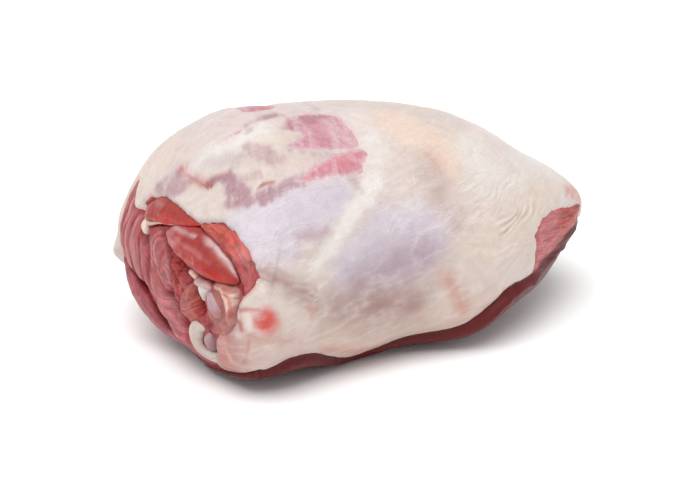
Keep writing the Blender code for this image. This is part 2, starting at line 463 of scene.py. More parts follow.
def closed_faces(rows: int, columns: int) -> tuple[Array, Array]:
    """Give the faces of a grid that closes around its columns and ends in a single vertex at each pole.

    Args:
        rows: number of rows, poles included.
        columns: number of columns.

    Returns:
        The quads, and the triangles at the poles.
    """
    ring = np.arange((rows - 2) * columns).reshape(rows - 2, columns) + 1
    right = np.roll(ring, -1, axis=1)
    quads = np.stack([ring[:-1], ring[1:], right[1:], right[:-1]], axis=-1).reshape(-1, 4)
    first = np.stack([np.zeros(columns, int), ring[0], right[0]], axis=-1)
    last = np.stack([np.full(columns, ring[-1, -1] + 1), right[-1], ring[-1]], axis=-1)
    return quads, np.concatenate([first, last])


def to_vertices(grid: Array) -> Array:
    """Turn a grid of values into a list with one entry for each pole."""
    flat = grid[1:-1].reshape(-1, *grid.shape[2:])
    return np.concatenate([grid[:1].mean(axis=1), flat, grid[-1:].mean(axis=1)])


def signed_volume(vertices: Array, triangles: Array) -> float:
    """Give the volume inside triangles, negative where they face inwards: the sum of a . (b x c) / 6."""
    a, b, c = (vertices[triangles[:, k]] for k in range(3))
    return float(np.einsum("ij,ij->i", a, np.cross(b, c)).sum() / 6)


def make_piece(name: str, points: Array, tone: Array, grain: Array, fibre: Array,
               finish: bpy.types.Material) -> bpy.types.Object:
    """Make a closed mesh from a grid of points, with its colour and the run and share of its fibres as attributes.

    Args:
        name: the object's name.
        points: rows by columns, in millimetres.
        tone: linear colours of the same rows and columns.
        grain: the map that the fibres follow, in millimetres: along them first, across them second.
        fibre: how much fibre shows, from 0 to 1.
        finish: the material.

    Returns:
        The object, at the origin.
    """
    vertices = to_vertices(points)
    quads, ends = closed_faces(*points.shape[:2])
    halves = np.concatenate([quads[:, [0, 1, 2]], quads[:, [0, 2, 3]], ends])
    if signed_volume(vertices, halves) < 0:
        quads, ends = quads[:, ::-1], ends[:, ::-1]
    mesh = bpy.data.meshes.new(name)
    mesh.from_pydata((vertices * MM).tolist(), [], quads.tolist() + ends.tolist())
    colours = np.concatenate([np.clip(to_vertices(tone), 0, 1), np.ones((len(vertices), 1))], axis=1)
    mesh.attributes.new("tone", "FLOAT_COLOR", "POINT").data.foreach_set("color", colours.astype(np.float32).ravel())
    run = (to_vertices(grain) * MM).astype(np.float32)
    mesh.attributes.new("grain", "FLOAT_VECTOR", "POINT").data.foreach_set("vector", run.ravel())
    mesh.attributes.new("fibre", "FLOAT", "POINT").data.foreach_set("value", to_vertices(fibre).astype(np.float32))
    mesh.materials.append(finish)
    mesh.shade_smooth()
    piece = bpy.data.objects.new(name, mesh)
    bpy.context.scene.collection.objects.link(piece)
    LOG.info("%s: %d vertices, %d faces", name, len(vertices), len(quads) + len(ends))
    return piece


def add_node(tree: bpy.types.NodeTree, kind: str, inputs: dict[Any, Any] | None = None, **settings: Any) -> Any:
    """Add a node with its settings, its values and its links.

    Args:
        tree: where the node goes.
        kind: the node's type, without the shared start of its name.
        inputs: a value or a socket to link for each input's name or number.
        settings: the node's own properties.

    Returns:
        The node.
    """
    node = tree.nodes.new("ShaderNode" + kind)
    for key, value in settings.items():
        setattr(node, key, value)
    for key, value in (inputs or {}).items():
        if isinstance(value, bpy.types.NodeSocket):
            tree.links.new(value, node.inputs[key])
        else:
            node.inputs[key].default_value = value
    return node


@dataclass(frozen=True)
class Tissue:
    """A moist tissue: light soaks a few millimetres in, and a thin film of moisture lies on top."""

    name: str
    roughness: float
    film: float
    film_roughness: float
    soak: float
    soak_depth_mm: float
    soak_colour: tuple
    mottle_mm: float
    mottle: float
    grain_mm: float
    grain_height_mm: float
    fibre_mm: float
    fibre_height_mm: float
    fibre_shade: float = 0.16
    sent_back: float = 0.77
    crease_mm: float = 9.0
    crease_shade: float = 0.0
    crease_height_mm: float = 0.0
    crease_stretch: tuple = (1.0, 1.0, 1.0)
    fibre_stretch: tuple = (0.14, 1.0, 1.0)
    creases_follow_fibre: bool = True

    def material(self) -> bpy.types.Material:
        """Build the material.

        The colour is the piece's own tone times a mottling and the share of light sent back. Grain, creases and
        muscle fibre are bumps, and the colour goes with them as painted light: painted shade in the lean's sunken
        creases, painted highlight on the fat's raised folds, and lighter on the higher fibre.

        Returns:
            The material.
        """
        material = bpy.data.materials.new(self.name)
        material.use_nodes = True
        tree = material.node_tree
        tree.nodes.clear()
        place = add_node(tree, "TexCoord").outputs["Object"]
        tone = add_node(tree, "Attribute", attribute_name="tone").outputs["Color"]
        fibre = add_node(tree, "Attribute", attribute_name="fibre").outputs["Fac"]
        grain_map = add_node(tree, "Attribute", attribute_name="grain").outputs["Vector"]
        mottle = add_node(tree, "TexNoise", {
            "Vector": place, "Scale": 1 / (self.mottle_mm * MM), "Detail": 5.0, "Roughness": 0.62})
        shade = add_node(tree, "MapRange", {
            "Value": mottle.outputs["Fac"], "From Min": 0.3, "From Max": 0.7,
            "To Min": self.sent_back * (1 - self.mottle), "To Max": self.sent_back * (1 + self.mottle * 0.6)})
        stretched = add_node(tree, "Mapping", {"Vector": grain_map, "Scale": self.fibre_stretch})
        strands = add_node(tree, "TexNoise", {
            "Vector": stretched.outputs["Vector"], "Scale": 1 / (self.fibre_mm * MM), "Detail": 3.0,
            "Roughness": 0.55})
        # Painted light: where the fibre noise stands higher the colour is lighter, and darker where it is low.
        strand_shade = add_node(tree, "MapRange", {
            "Value": strands.outputs["Fac"], "From Min": 0.3, "From Max": 0.7,
            "To Min": 1 - self.fibre_shade, "To Max": 1 + self.fibre_shade})
        strand_mix = add_node(tree, "Mix", {0: fibre, 2: 1.0, 3: strand_shade.outputs["Result"]}, data_type="FLOAT")
        both = add_node(tree, "Math", {0: shade.outputs["Result"], 1: strand_mix.outputs[0]}, operation="MULTIPLY")
        drawn = add_node(tree, "Mapping", {
            "Vector": grain_map if self.creases_follow_fibre else place, "Scale": self.crease_stretch})
        folds = add_node(tree, "TexNoise", {
            "Vector": drawn.outputs["Vector"], "Scale": 1 / (self.crease_mm * MM), "Detail": 4.0,
            "Roughness": 0.55, "Distortion": 0.7})
        off = add_node(tree, "Math", {0: folds.outputs["Fac"], 1: 0.5}, operation="SUBTRACT")
        away = add_node(tree, "Math", {0: off.outputs[0]}, operation="ABSOLUTE")
        crease = add_node(tree, "MapRange", {
            "Value": away.outputs[0], "From Min": 0.0, "From Max": 0.035,
            "To Min": fibre if self.creases_follow_fibre else 1.0, "To Max": 0.0}, interpolation_type="SMOOTHSTEP")
        # Painted light: the lean's sunken creases are darkened as shade and the fat's raised folds lightened as
        # highlight.
        lit = add_node(tree, "MapRange", {
            "Value": crease.outputs["Result"], "To Min": 1.0, "To Max": 1 + self.crease_shade})
        whole = add_node(tree, "Math", {0: both.outputs[0], 1: lit.outputs["Result"]}, operation="MULTIPLY")
        colour = add_node(tree, "VectorMath", {0: tone, 3: whole.outputs[0]}, operation="SCALE")
        grain = add_node(tree, "TexNoise", {
            "Vector": place, "Scale": 1 / (self.grain_mm * MM), "Detail": 4.0, "Roughness": 0.6})
        grain_bump = add_node(tree, "Bump", {
            "Height": grain.outputs["Fac"], "Distance": self.grain_height_mm * MM, "Strength": 1.0})
        crease_bump = add_node(tree, "Bump", {
            "Height": crease.outputs["Result"], "Distance": self.crease_height_mm * MM, "Strength": 1.0,
            "Normal": grain_bump.outputs["Normal"]})
        fibre_height = add_node(tree, "Math", {0: strands.outputs["Fac"], 1: fibre}, operation="MULTIPLY")
        fibre_bump = add_node(tree, "Bump", {
            "Height": fibre_height.outputs[0], "Distance": self.fibre_height_mm * MM, "Strength": 1.0,
            "Normal": crease_bump.outputs["Normal"]})
        gloss = add_node(tree, "MapRange", {
            "Value": mottle.outputs["Fac"], "From Min": 0.3, "From Max": 0.7,
            "To Min": self.roughness * 0.82, "To Max": self.roughness * 1.18})
        shader = add_node(tree, "BsdfPrincipled", {
            "Base Color": colour.outputs["Vector"], "Roughness": gloss.outputs["Result"], "IOR": 1.38,
            "Normal": fibre_bump.outputs["Normal"], "Coat Weight": self.film,
            "Coat Roughness": self.film_roughness, "Coat IOR": 1.34,
            "Subsurface Weight": self.soak, "Subsurface Radius": self.soak_colour,
            "Subsurface Scale": self.soak_depth_mm * MM})
        add_node(tree, "OutputMaterial", {"Surface": shader.outputs["BSDF"]})
        return material


# Subcutaneous fat under its papery membrane: firm and satin, with fine creases and a faint film of moisture.
FAT = Tissue("lamb_fat_and_membrane", roughness=0.46, film=0.12, film_roughness=0.25, soak=0.30, soak_depth_mm=2.0,
             soak_colour=(1.0, 0.55, 0.4), mottle_mm=5.0, mottle=0.07, grain_mm=1.4, grain_height_mm=0.28,
             fibre_mm=1.1, fibre_height_mm=0.35, crease_mm=13.0, crease_shade=0.04, crease_height_mm=0.14,
             crease_stretch=(0.6, 1.0, 1.0), creases_follow_fibre=False)
# Freshly cut lean: wet, painted darker in its folds as shade, with the grain of the muscle bundles.
LEAN = Tissue("cut_lean_lamb", roughness=0.42, film=0.12, film_roughness=0.16, soak=0.25, soak_depth_mm=1.6,
              soak_colour=(1.0, 0.20, 0.16), mottle_mm=3.0, mottle=0.20, grain_mm=1.0, grain_height_mm=0.35,
              fibre_mm=1.0, fibre_height_mm=0.6, fibre_shade=0.24, crease_mm=6.0, crease_shade=-0.14,
              crease_height_mm=-0.20, crease_stretch=(0.16, 1.0, 1.0))
# Muscle in its own smooth sheath: wetter and shinier than the cut lean.
SHEATHED = Tissue("sheathed_lean_lamb", roughness=0.36, film=0.17, film_roughness=0.12, soak=0.25, soak_depth_mm=1.6,
                  soak_colour=(1.0, 0.22, 0.18), mottle_mm=4.5, mottle=0.15, grain_mm=2.2, grain_height_mm=0.30,
                  fibre_mm=1.3, fibre_height_mm=0.3, crease_mm=9.0, crease_shade=-0.12, crease_height_mm=-0.15,
                  crease_stretch=(0.3, 1.0, 1.0))
# Bone end and gristle: smooth and pearly.
BONE = Tissue("lamb_bone_and_gristle", roughness=0.34, film=0.25, film_roughness=0.12, soak=0.25, soak_depth_mm=1.5,
              soak_colour=(1.0, 0.7, 0.6), mottle_mm=3.0, mottle=0.10, grain_mm=1.5, grain_height_mm=0.25,
              fibre_mm=1.5, fibre_height_mm=0.1)


# Where lean and bone are bare, on the cut map: the outline of the cut face inside its rim of fat.
CUT_OUTLINE = (
    (-43, 73), (-40, 72), (-37, 67), (-34.5, 62.5), (-25, 64), (-25, 68), (-21, 71), (-15, 73.2), (-7, 75), (1, 75.2),
    (8, 74.2), (18, 73.2), (26, 73.4), (32, 75.5), (41, 76.6), (48, 75.2), (54, 72.4), (60, 69), (65, 65), (69, 61),
    (70.5, 57), (69, 54), (67, 50), (66, 45), (65, 39), (60, 32.5), (54, 31), (52, 27), (50.5, 20), (46, 12.5),
    (40, 6.5), (34, 0), (12, -4), (-16, 6), (-44, 24), (-50, 33), (-47, 39), (-47.5, 52), (-49, 57), (-47, 66),
)
# The cut across the shank, on the skin map.
SHANK_OUTLINE = (
    (54.3, 13.3), (57.5, 15.8), (63, 18), (73.6, 17.1), (85, 12.6), (92, 8.5), (99, 6), (103, 2), (104, -5),
    (98, -11), (85, -12), (66, -12), (53.5, -11), (53, -4), (54.6, 1), (55, 7),
)
# Bare lean on the skin map, seen through its sheath where the fat was pulled off.
WINDOWS = (
    ((-50.6, 104.7), (-43.7, 111.8), (-37.5, 116), (-29, 119), (-21.3, 118.4), (-15.5, 113.5), (-14.4, 110),
     (-17.5, 97), (-19, 88), (-20, 84.5), (-25, 84), (-35, 84.5), (-42, 86), (-49, 87), (-53.7, 89.5), (-54, 91),
     (-47.6, 94), (-43, 98), (-44, 100), (-48, 102)),
    ((-61.4, 69.2), (-55.3, 72.1), (-49.1, 75.6), (-39.1, 79), (-32, 81.3), (-25, 82.7), (-20, 82.4), (-19.8, 79.6),
     (-22.9, 74.4), (-26.7, 69.4), (-29, 68.3), (-42.9, 69.2), (-54.5, 67.7)),
    ((-54, 134), (-49, 129.5), (-42, 129), (-37, 133), (-31, 146), (-27, 158), (-44, 158), (-51, 146)),
)
SMALL_WINDOWS = (
    Trail(((-74, 112.5), (-65.5, 114.5)), (0.2, 0.8)),
)
# Thin fat, through which the lean shows mauve: each trail with how thin it is.
THIN_FAT = (
    (Trail(((-91, 66), (-85, 64), (-78, 64), (-70, 67), (-60, 67.5)), (2.8, 3.2, 3.2, 3.0, 2.4)), 0.95),
    (Trail(((-87.5, 85), (-86.5, 70)), (2.8, 3.8)), 0.95),
    (Trail(((-71, 97), (-68, 90), (-65, 83)), (4.5, 6.0, 4.5)), 0.5),
    (Trail(((-86, 79), (-79, 78)), (4.0, 4.0)), 0.5),
    (Trail(((-97, 96), (-97, 114)), (4.0, 3.5)), 0.65),
    (Trail(((-56, 88), (-46, 82), (-38, 81)), (3.0, 5.0, 3.0)), 0.4),
    (Trail(((-62, 115.5), (-52, 117), (-44, 118)), (1.2, 2.6, 1.8)), 0.8),
    (Trail(((-66, 108), (-60, 112)), (1.0, 2.0)), 0.4),
    (Trail(((-24, 84), (-16, 106)), (2.5, 2.5)), 0.5),
    (Trail(((-20, 122), (-14, 146)), (2.0, 2.0)), 0.35),
    (Trail(((-34, 72), (-34, 60)), (4.0, 3.0)), 0.45),
)
FAT_DEPTH = 1.3


class Markings:
    """What lies where on the skin: signed distances, in millimetres, into each bare place and into the fat."""

    def __init__(self, grid: SkinGrid) -> None:
        """Work out the shared maps of a grid."""
        self.grid = grid
        self.q = -grid.points[..., 1]
        self.z = grid.points[..., 2]
        self.fray = noise(grid.points, 5.0, 3, 3)
        self.cut = self._cut()
        self.shank = self._shank()
        self.window = self._window()
        self.below = self._below()
        self.along, self.across = self._membrane_run()

    def _membrane_run(self) -> tuple[Array, Array]:
        """Give the skin map turned to the run of the membrane, which climbs a little towards the shank."""
        turn = math.radians(14)
        u, v = self.grid.u, self.grid.v
        return u * math.cos(turn) + v * math.sin(turn), v * math.cos(turn) - u * math.sin(turn)

    def _cut(self) -> Array:
        """Give how far inside the cut face each place is, far outside on the skin that faces elsewhere."""
        outline = inside_outline(CUT_OUTLINE, self.q, self.z) + 1.2 * self.fray
        return np.where(self.grid.normals[..., 0] < -0.12, outline, -30.0)

    def _shank(self) -> Array:
        """Give how far inside the shank's cut each place is."""
        outline = inside_outline(SHANK_OUTLINE, self.grid.u, self.grid.v)
        return outline + 0.9 * noise(self.grid.points, (3.0, 5.0, 2.0), 12, 2)

    def _window(self) -> Array:
        """Give how far inside bare lean each place is, with edges frayed along the run of the membrane."""
        u, v = self.grid.u, self.grid.v
        depth = np.max([inside_outline(window, u, v) for window in WINDOWS], axis=0)
        depth = np.maximum(depth, np.max([trail.inside(u, v) for trail in SMALL_WINDOWS], axis=0))
        return depth + 1.1 * flat_noise(u - 0.3 * v, v + 0.3 * u, (1.8, 6.0), 21, 2) + 0.6 * self.fray

    def _below(self) -> Array:
        """Give how far below the edge of the fat each place is, on the leg's hidden resting side."""
        u, v = self.grid.u, self.grid.v
        edge_v = along((-101, -99, -92, -83, -72, -62, -50, -36, -21, -5, 12, 23, 33, 55),
                       (-54, -36, -27, -20, -18.5, -21.5, -27, -31, -26.5, -22, -15, -9, -5, -5.5), u)
        toward_front = ramp(self.q, -34, 10)
        back = 13.0 - self.z
        return back + toward_front * (np.clip(edge_v - v, -40, 30) - back) + 1.0 * self.fray

    def thinness(self) -> Array:
        """Give how thin the fat is, from 0 to 1, streaked along the membrane."""
        u, v = self.grid.u, self.grid.v
        streak = flat_noise(u - 0.35 * v, v + 0.35 * u, (1.5, 11.0), 33, 3)
        thin = np.zeros_like(u)
        for trail, share in THIN_FAT:
            thin = np.maximum(thin, share * ramp(trail.inside(u, v) + 2.0 * self.fray + 1.5 * streak, -3.0, 3.0))
        return np.clip(thin * (0.88 + 0.5 * streak), 0, 1)

    def fat_height(self, thin: Array) -> Array:
        """Give the height of the fat over the lean.

        It is 1 - exp(-distance from the edge), steep at the cuts and gentle at the windows, and thinner where the
        lean shows through. On bare lean the cover dives out of sight.

        Args:
            thin: how thin the fat is, from 0 to 1.

        Returns:
            Millimetres above the lean.
        """
        edge = np.minimum.reduce([-self.cut, -self.shank, -self.below])
        full = (1 - np.exp(-np.maximum(edge, 0) / 0.9)) * (1 - np.exp(-np.maximum(-self.window, 0) / 2.6))
        cover = np.minimum(edge, -self.window)
        return np.where(cover < 0, np.maximum(1.4 * cover, -16), FAT_DEPTH * full * (1 - 0.45 * thin))


# Colours of the fat on the skin map, in the order they are laid.
FAT_DAUBS = (
    Daub(Paint.ROSY_FAT, Trail(((-92, 116), (-78, 128), (-60, 130), (-20, 150)), (8, 14, 20, 22)), 0.8, 12, 4),
    Daub(Paint.WARM_FAT, Trail(((-92, 128), (-88, 146)), (6, 8)), 0.7, 8, 3),
    Daub(Paint.PALE_FAT, Trail(((-84, 102), (-62, 107)), (8, 7)), 0.85, 6, 3),
    Daub(Paint.PALE_FAT, Trail(((-4, 112), (-14, 80), (-22, 68)), (8, 7, 5)), 0.6, 6, 3),
    Daub(Paint.PALE_FAT, Trail(((40, 58), (64, 60), (90, 40)), (20, 24, 14)), 0.6, 12, 5),
    Daub(Paint.ROSY_FAT, Trail(((54, 62), (54, 52)), (8, 7)), 0.6, 9, 4),
    Daub(Paint.WARM_FAT, Trail(((24, 24), (60, 28), (84, 22)), (12, 8, 5)), 0.6, 8, 3),
    # Darker band along the low front: partly the fat's own tone, partly painted shade where the leg turns under.
    Daub(Paint.FIRM_FAT, Trail(((-110, -14), (-70, -12), (-20, -16), (20, -8)), (12, 11, 11, 9)), 0.5, 10, 4),
    Daub(Paint.LILAC, Trail(((-92, 48), (-66, 54), (-42, 58)), (12, 14, 8)), 0.95, 6, 4),
    Daub(Paint.LILAC, Trail(((-90, 34), (-78, 34)), (6, 5)), 0.7, 5, 3),
    Daub(Paint.LILAC, Trail(((-48, 24), (-26, 32), (-6, 36)), (12, 18, 12)), 0.9, 8, 4),
    Daub(Paint.LILAC_SHADE, Trail(((-44, 18), (-28, 21), (-12, 24)), (7, 10, 9)), 0.8, 13, 3),
    # The next two mauve marks are painted shadows on the lilac membrane.
    Daub(Paint.MAUVE, Trail(((-71, 41), (-59, 42)), (1.6, 2.6)), 0.6, 4, 3),
    Daub(Paint.MAUVE, Trail(((-76, 32), (-71, 34)), (1.2, 1.4)), 0.35, 3, 2),
    Daub(Paint.MAUVE, Trail(((-97, 27), (-88, 25)), (2.0, 2.5)), 0.5, 4, 3),
    Daub(Paint.PALE_FAT, Trail(((-24, 64), (-32, 56), (-44, 46.5), (-55, 37), (-68, 26)), (4, 4.5, 4, 3, 2)), 1, 3, 3),
    Daub(Paint.PEACH, Trail(((8, 100), (14, 80), (16, 66)), (13, 12, 8)), 0.85, 8, 4),
    Daub(Paint.WARM_BLUSH, Trail(((9, 72), (11, 64)), (0.8, 1.0)), 0.35, 3, 2),
    Daub(Paint.BROWN_PINK, Trail(((10, 72), (6, 60), (4, 46), (8, 36)), (4, 6, 6, 5)), 0.4, 9, 3),
    # Brownish along the low front: partly the fat's own tone, partly painted shade where the leg turns under.
    Daub(Paint.BROWN_PINK, Trail(((-60, 6), (-42, 5), (-18, 2)), (6, 9, 7)), 0.95, 12, 2.5),
    # Brownish over the wrinkled patch: partly the fat's own tone, partly painted shade between its wrinkles.
    Daub(Paint.BROWN_PINK, Trail(((-90, 24), (-72, 13)), (4, 4)), 0.7, 5, 3),
    Daub(Paint.LILAC_SHADE, Trail(((-86, 100), (-78, 92)), (4, 5)), 0.4, 5, 3),
    Daub(Paint.WARM_BLUSH, Trail(((1, 12), (5, 2), (9, -10)), (3.2, 3, 2.2)), 0.6, 4, 3),
    Daub(Paint.WARM_BLUSH, Trail(((-74, 10), (-72, 4)), (1.6, 1.6)), 0.5, 2.5, 2),
    Daub(Paint.WARM_BLUSH, Trail(((-62, -15), (-46, -19), (-30, -24)), (1.8, 3.0, 3.0)), 0.55, 4, 2),
    Daub(Paint.ROSY_FAT, Trail(((86, 17), (104, 6)), (4, 5)), 0.9, 4, 2),
    Daub(Paint.STAIN, Trail(((-105, 3), (-97, 3.5)), (1.6, 5.4)), 0.75, 5.0, 1.5),
    Daub(Paint.STAIN, Trail(((-98.5, 1), (-96.5, 5.5)), (3.2, 3.2)), 0.85, 4.0, 1.5),
    Daub(Paint.PALE_FAT, Trail(((-108, -1), (-108, 4)), (2.0, 2.2)), 0.7, 1.6, 0.8),
    Daub(Paint.LEAN, Trail(((-113, 6.5), (-107, 8), (-101, 8.6)), (0.5, 0.6, 0.2)), 0.6, 1.5, 0.8),
    Daub(Paint.LEAN, Trail(((-112.5, 6), (-113.5, 1), (-112, -3)), (0.2, 0.5, 0.2)), 0.5, 1.5, 0.8),
    Daub(Paint.WARM_BLUSH, Trail(((-113, -4), (-102, -5), (-84, -5)), (0.8, 1.4, 0.5)), 0.6, 3.0, 1.2),
    Daub(Paint.WARM_BLUSH, Trail(((-108, -8), (-105.5, -23)), (0.7, 0.8)), 0.7, 1.2, 0.8),
    Daub(Paint.LEAN_ORANGE, Trail(((-92, 111), (-93, 104), (-93, 94), (-93, 88)), (1, 0.6, 0.9, 1.3)), 0.8, 1.2, 0.9),
    Daub(Paint.LEAN, Trail(((-92.5, 112), (-90, 110.5)), (1.2, 1.0)), 0.6, 1.5, 1.0),
    Daub(Paint.LEAN_DEEP, Trail(((-92.5, 87), (-92, 83.5)), (1.2, 1.4)), 0.85, 0.9, 0.8),
    Daub(Paint.LEAN, Trail(((-90, 87), (-87, 85)), (1.6, 1.6)), 0.6, 1.5, 1.0),
    Daub(Paint.LEAN_DEEP, Trail(((-80, 69.5), (-76, 71), (-72, 70.5)), (0.3, 0.8, 0.5)), 0.7, 0.7, 1.6),
    Daub(Paint.MAUVE_DARK, Trail(((-68, 69.5), (-60, 71), (-50, 68)), (0.3, 0.5, 0.3)), 0.55, 0.8, 0.8),
    Daub(Paint.MAUVE_DARK, Trail(((-86, 130), (-84.6, 129)), (0.6, 0.6)), 0.4, 1.0, 0.6),
    Daub(Paint.MAUVE_DARK, Trail(((-90.5, 87), (-86, 82)), (1.2, 2.6)), 0.8, 1.2, 1.4),
    Daub(Paint.WARM_BLUSH, Trail(((92, 16), (101, 11), (109, 6)), (3.0, 4.5, 4.5)), 0.75, 3.5, 1.5),
)
# Marks of the fat around the bones, on the cut map.
FOOT_DAUBS = (
    Daub(Paint.ROSY_LEAN, Trail(((66, 26), (68, 12)), (7, 8)), 0.45, 7, 2),
    Daub(Paint.ROSY_LEAN, Trail(((62, 36), (57, 26), (54, 12)), (4.0, 6.0, 7.0)), 0.9, 4.0, 1.5),
    Daub(Paint.PEACH, Trail(((58, 30), (60, 20)), (0.6, 0.8)), 0.6, 1.6, 1.2),
    Daub(Paint.LEAN, Trail(((57, 33), (57.5, 24), (55, 14)), (0.8, 1.3, 1.2)), 0.5, 2.0, 1.2),
    Daub(Paint.WARM_BLUSH, Trail(((58, 33), (57, 25), (56, 14)), (2.0, 2.0, 2.6)), 0.75, 1.6, 1.2),
    Daub(Paint.MAUVE, Trail(((62, 36), (64, 32)), (1.2, 1.5)), 0.5, 2.0, 1.0),
    Daub(Paint.LEAN, Trail(((65, 43), (68, 40), (69, 36)), (0.9, 0.9, 0.6)), 0.75, 0.9, 0.6),
    Daub(Paint.WARM_BLUSH, Trail(((66, 47), (69, 52), (71, 56)), (1.0, 1.0, 0.8)), 0.6, 1.4, 0.8),
    Daub(Paint.STAIN, Trail(((69, 46), (74, 47.5)), (0.5, 0.7)), 0.5, 1.0, 0.6),
)


@dataclass
class FatCover:
    """The cover of fat and membrane: a closed skin, over the lean where there is fat and hidden in it elsewhere."""

    rows: tuple = (74, 182, 24, 0.55)
    columns: int = 350
    crowding: float = 0.42
    crowded_at: float = math.radians(62)
    lip: float = 0.8
    lump: float = 0.55
    wisp_height: float = 0.14
    wrinkle_height: float = 0.34
    zones: tuple = (
        (Trail(((-92, 24), (-72, 13)), (8, 7)), -0.45, 3.2, 1.3),
        (Trail(((24, 40), (44, 41)), (5, 6)), 0.45, 3.2, 1.3),
        (Trail(((36, 26), (62, 29)), (6, 6)), 0.35, 3.2, 1.4),
        (Trail(((14, 22), (40, 16)), (6, 7)), -0.35, 4.2, 0.6),
        (Trail(((-40, 48), (-24, 62)), (5, 6)), 0.55, 3.8, 0.5),
        (Trail(((62, 36), (78, 34)), (5, 5)), 0.3, 3.6, 0.8),
        (Trail(((-88, 40), (-60, 44)), (6, 6)), 0.1, 3.6, 0.5),
    )
    side_lump: float = 5.5

    def wrinkles(self, marks: Markings) -> Array:
        """Give the wrinkles' height from -1 to 1: sines across each zone's run, bent and broken by noise."""
        u, v = marks.grid.u, marks.grid.v
        height = np.zeros_like(u)
        for number, (zone, slant, pitch, share) in enumerate(self.zones):
            across = (v - slant * u) / math.hypot(1, slant)
            bend = 1.3 * pitch * flat_noise(u, v, (10.0, 10.0), 50 + number, 2)
            broken = 0.30 + 0.90 * flat_noise(u, v, (7.0, 4.0), 60 + number, 2)
            wave = np.sin(2 * np.pi * (across + bend) / pitch)
            height += share * ramp(zone.inside(u, v), -5, 5) * broken * wave
        return height

    def wisps(self, marks: Markings) -> Array:
        """Give fine folds of membrane: the crests of stretched noise, strongest on the lilac parts; their pale colour
        is partly painted glint.
        """
        crest = 1 - np.abs(flat_noise(marks.along, marks.across, (16.0, 4.5), 41, 3))
        patchy = 0.5 + 0.5 * noise(marks.grid.points, 18.0, 42, 2)
        return np.clip(crest, 0, 1) ** 7 * patchy

    def tone(self, marks: Markings, thin: Array, wrinkles: Array, wisps: Array) -> Array:
        """Give the fat's colour: cream under the daubs, with pale wisps that are partly painted glints, mauve where it
        is thin or near its edge, and painted highlight on the wrinkles' crests with painted shade in their troughs.
        """
        grid = marks.grid
        tone = np.broadcast_to(linear(Paint.CREAM_FAT), (*grid.u.shape, 3)).copy()
        cloud = noise(grid.points, 26.0, 44, 3)[..., None]
        tone = tone + ramp(cloud, 0.0, 0.7) * 0.5 * (linear(Paint.WARM_FAT) - tone)
        tone = tone + ramp(-cloud, 0.0, 0.7) * 0.5 * (linear(Paint.ROSY_FAT) - tone)
        tone = daub_on(tone, FAT_DAUBS, grid.u, grid.v, marks.fray)
        foot = daub_on(tone, FOOT_DAUBS, marks.q, marks.z, marks.fray)
        tone = tone + grid.faces_cut[..., None] * (foot - tone)
        # The wisps' pale colour is partly painted glint along the membrane's raised folds.
        tone = tone + (0.5 * wisps)[..., None] * (linear(Paint.WISP) - tone)
        veil = ramp(thin, 0.03, 0.85)[..., None]
        tone = tone + veil * 0.9 * (linear(Paint.MAUVE) - tone)
        spots = ramp(thin + 0.4 * noise(grid.points, 2.2, 71, 2), 0.95, 1.25)[..., None]
        tone = tone + spots * 0.6 * (linear(Paint.MAUVE_DARK) - tone)
        streak = flat_noise(grid.u - 0.3 * grid.v, grid.v + 0.3 * grid.u, (1.6, 7.0), 72, 2)
        rim = (np.exp(-np.maximum(-marks.window, 0) / 1.8) * (0.75 + 0.5 * streak))[..., None]
        tone = tone + np.clip(rim, 0, 1) * (linear(Paint.WINDOW_STREAK) - tone)
        # Painted light: lighter on the wrinkles' crests and darker in their troughs.
        return tone * (1 + 0.13 * wrinkles)[..., None]

    def build(self) -> bpy.types.Object:
        """Build the cover, with a raised lip along the cut, soft lumps, wrinkles and folds of membrane.

        Returns:
            The piece.
        """
        grid = skin_grid(spread_rows(*self.rows), spread_columns(self.columns, self.crowding, self.crowded_at))
        marks = Markings(grid)
        thin = marks.thinness()
        wrinkles, wisps = self.wrinkles(marks) * grid.seam_fade, self.wisps(marks) * grid.seam_fade
        lip = self.lip * bell((marks.cut + 3.0) / 2.6) * ramp(-marks.cut, 0, 1.2) * ramp(marks.z, 38, 52)
        lumps = self.lump * noise(grid.points, 17.0, 5, 3) + 0.14 * noise(grid.points, 3.5, 6, 2)
        lumps = lumps * ramp(grid.points[..., 2], 1.0, 9.0)
        side = self.side_lump * bell(np.hypot(marks.q + 50, marks.z - 34) / 7) * ramp(grid.points[..., 0], -84, -96)
        height = marks.fat_height(thin) - FAT_DEPTH + FORM.rolls(grid.points) + lumps + lip + side
        height = height + self.wrinkle_height * wrinkles + self.wisp_height * wisps
        points = grid.points + grid.normals * height[..., None]
        points[..., 2] = np.maximum(points[..., 2], 0.25)
        grain = np.stack([marks.along, marks.across, 0 * thin], axis=-1)
        fibre = np.clip(0.12 + 0.5 * thin, 0, 1) * grid.seam_fade
        return make_piece("fat_cover", points, self.tone(marks, thin, wrinkles, wisps), grain, fibre, FAT.material())


class Furrow(NamedTuple):
    """A raised or sunken line of the cut lean: its trail on the cut map and its height, negative when sunken."""

    height: float
    reach: float
    line: Sequence[tuple[float, float]]


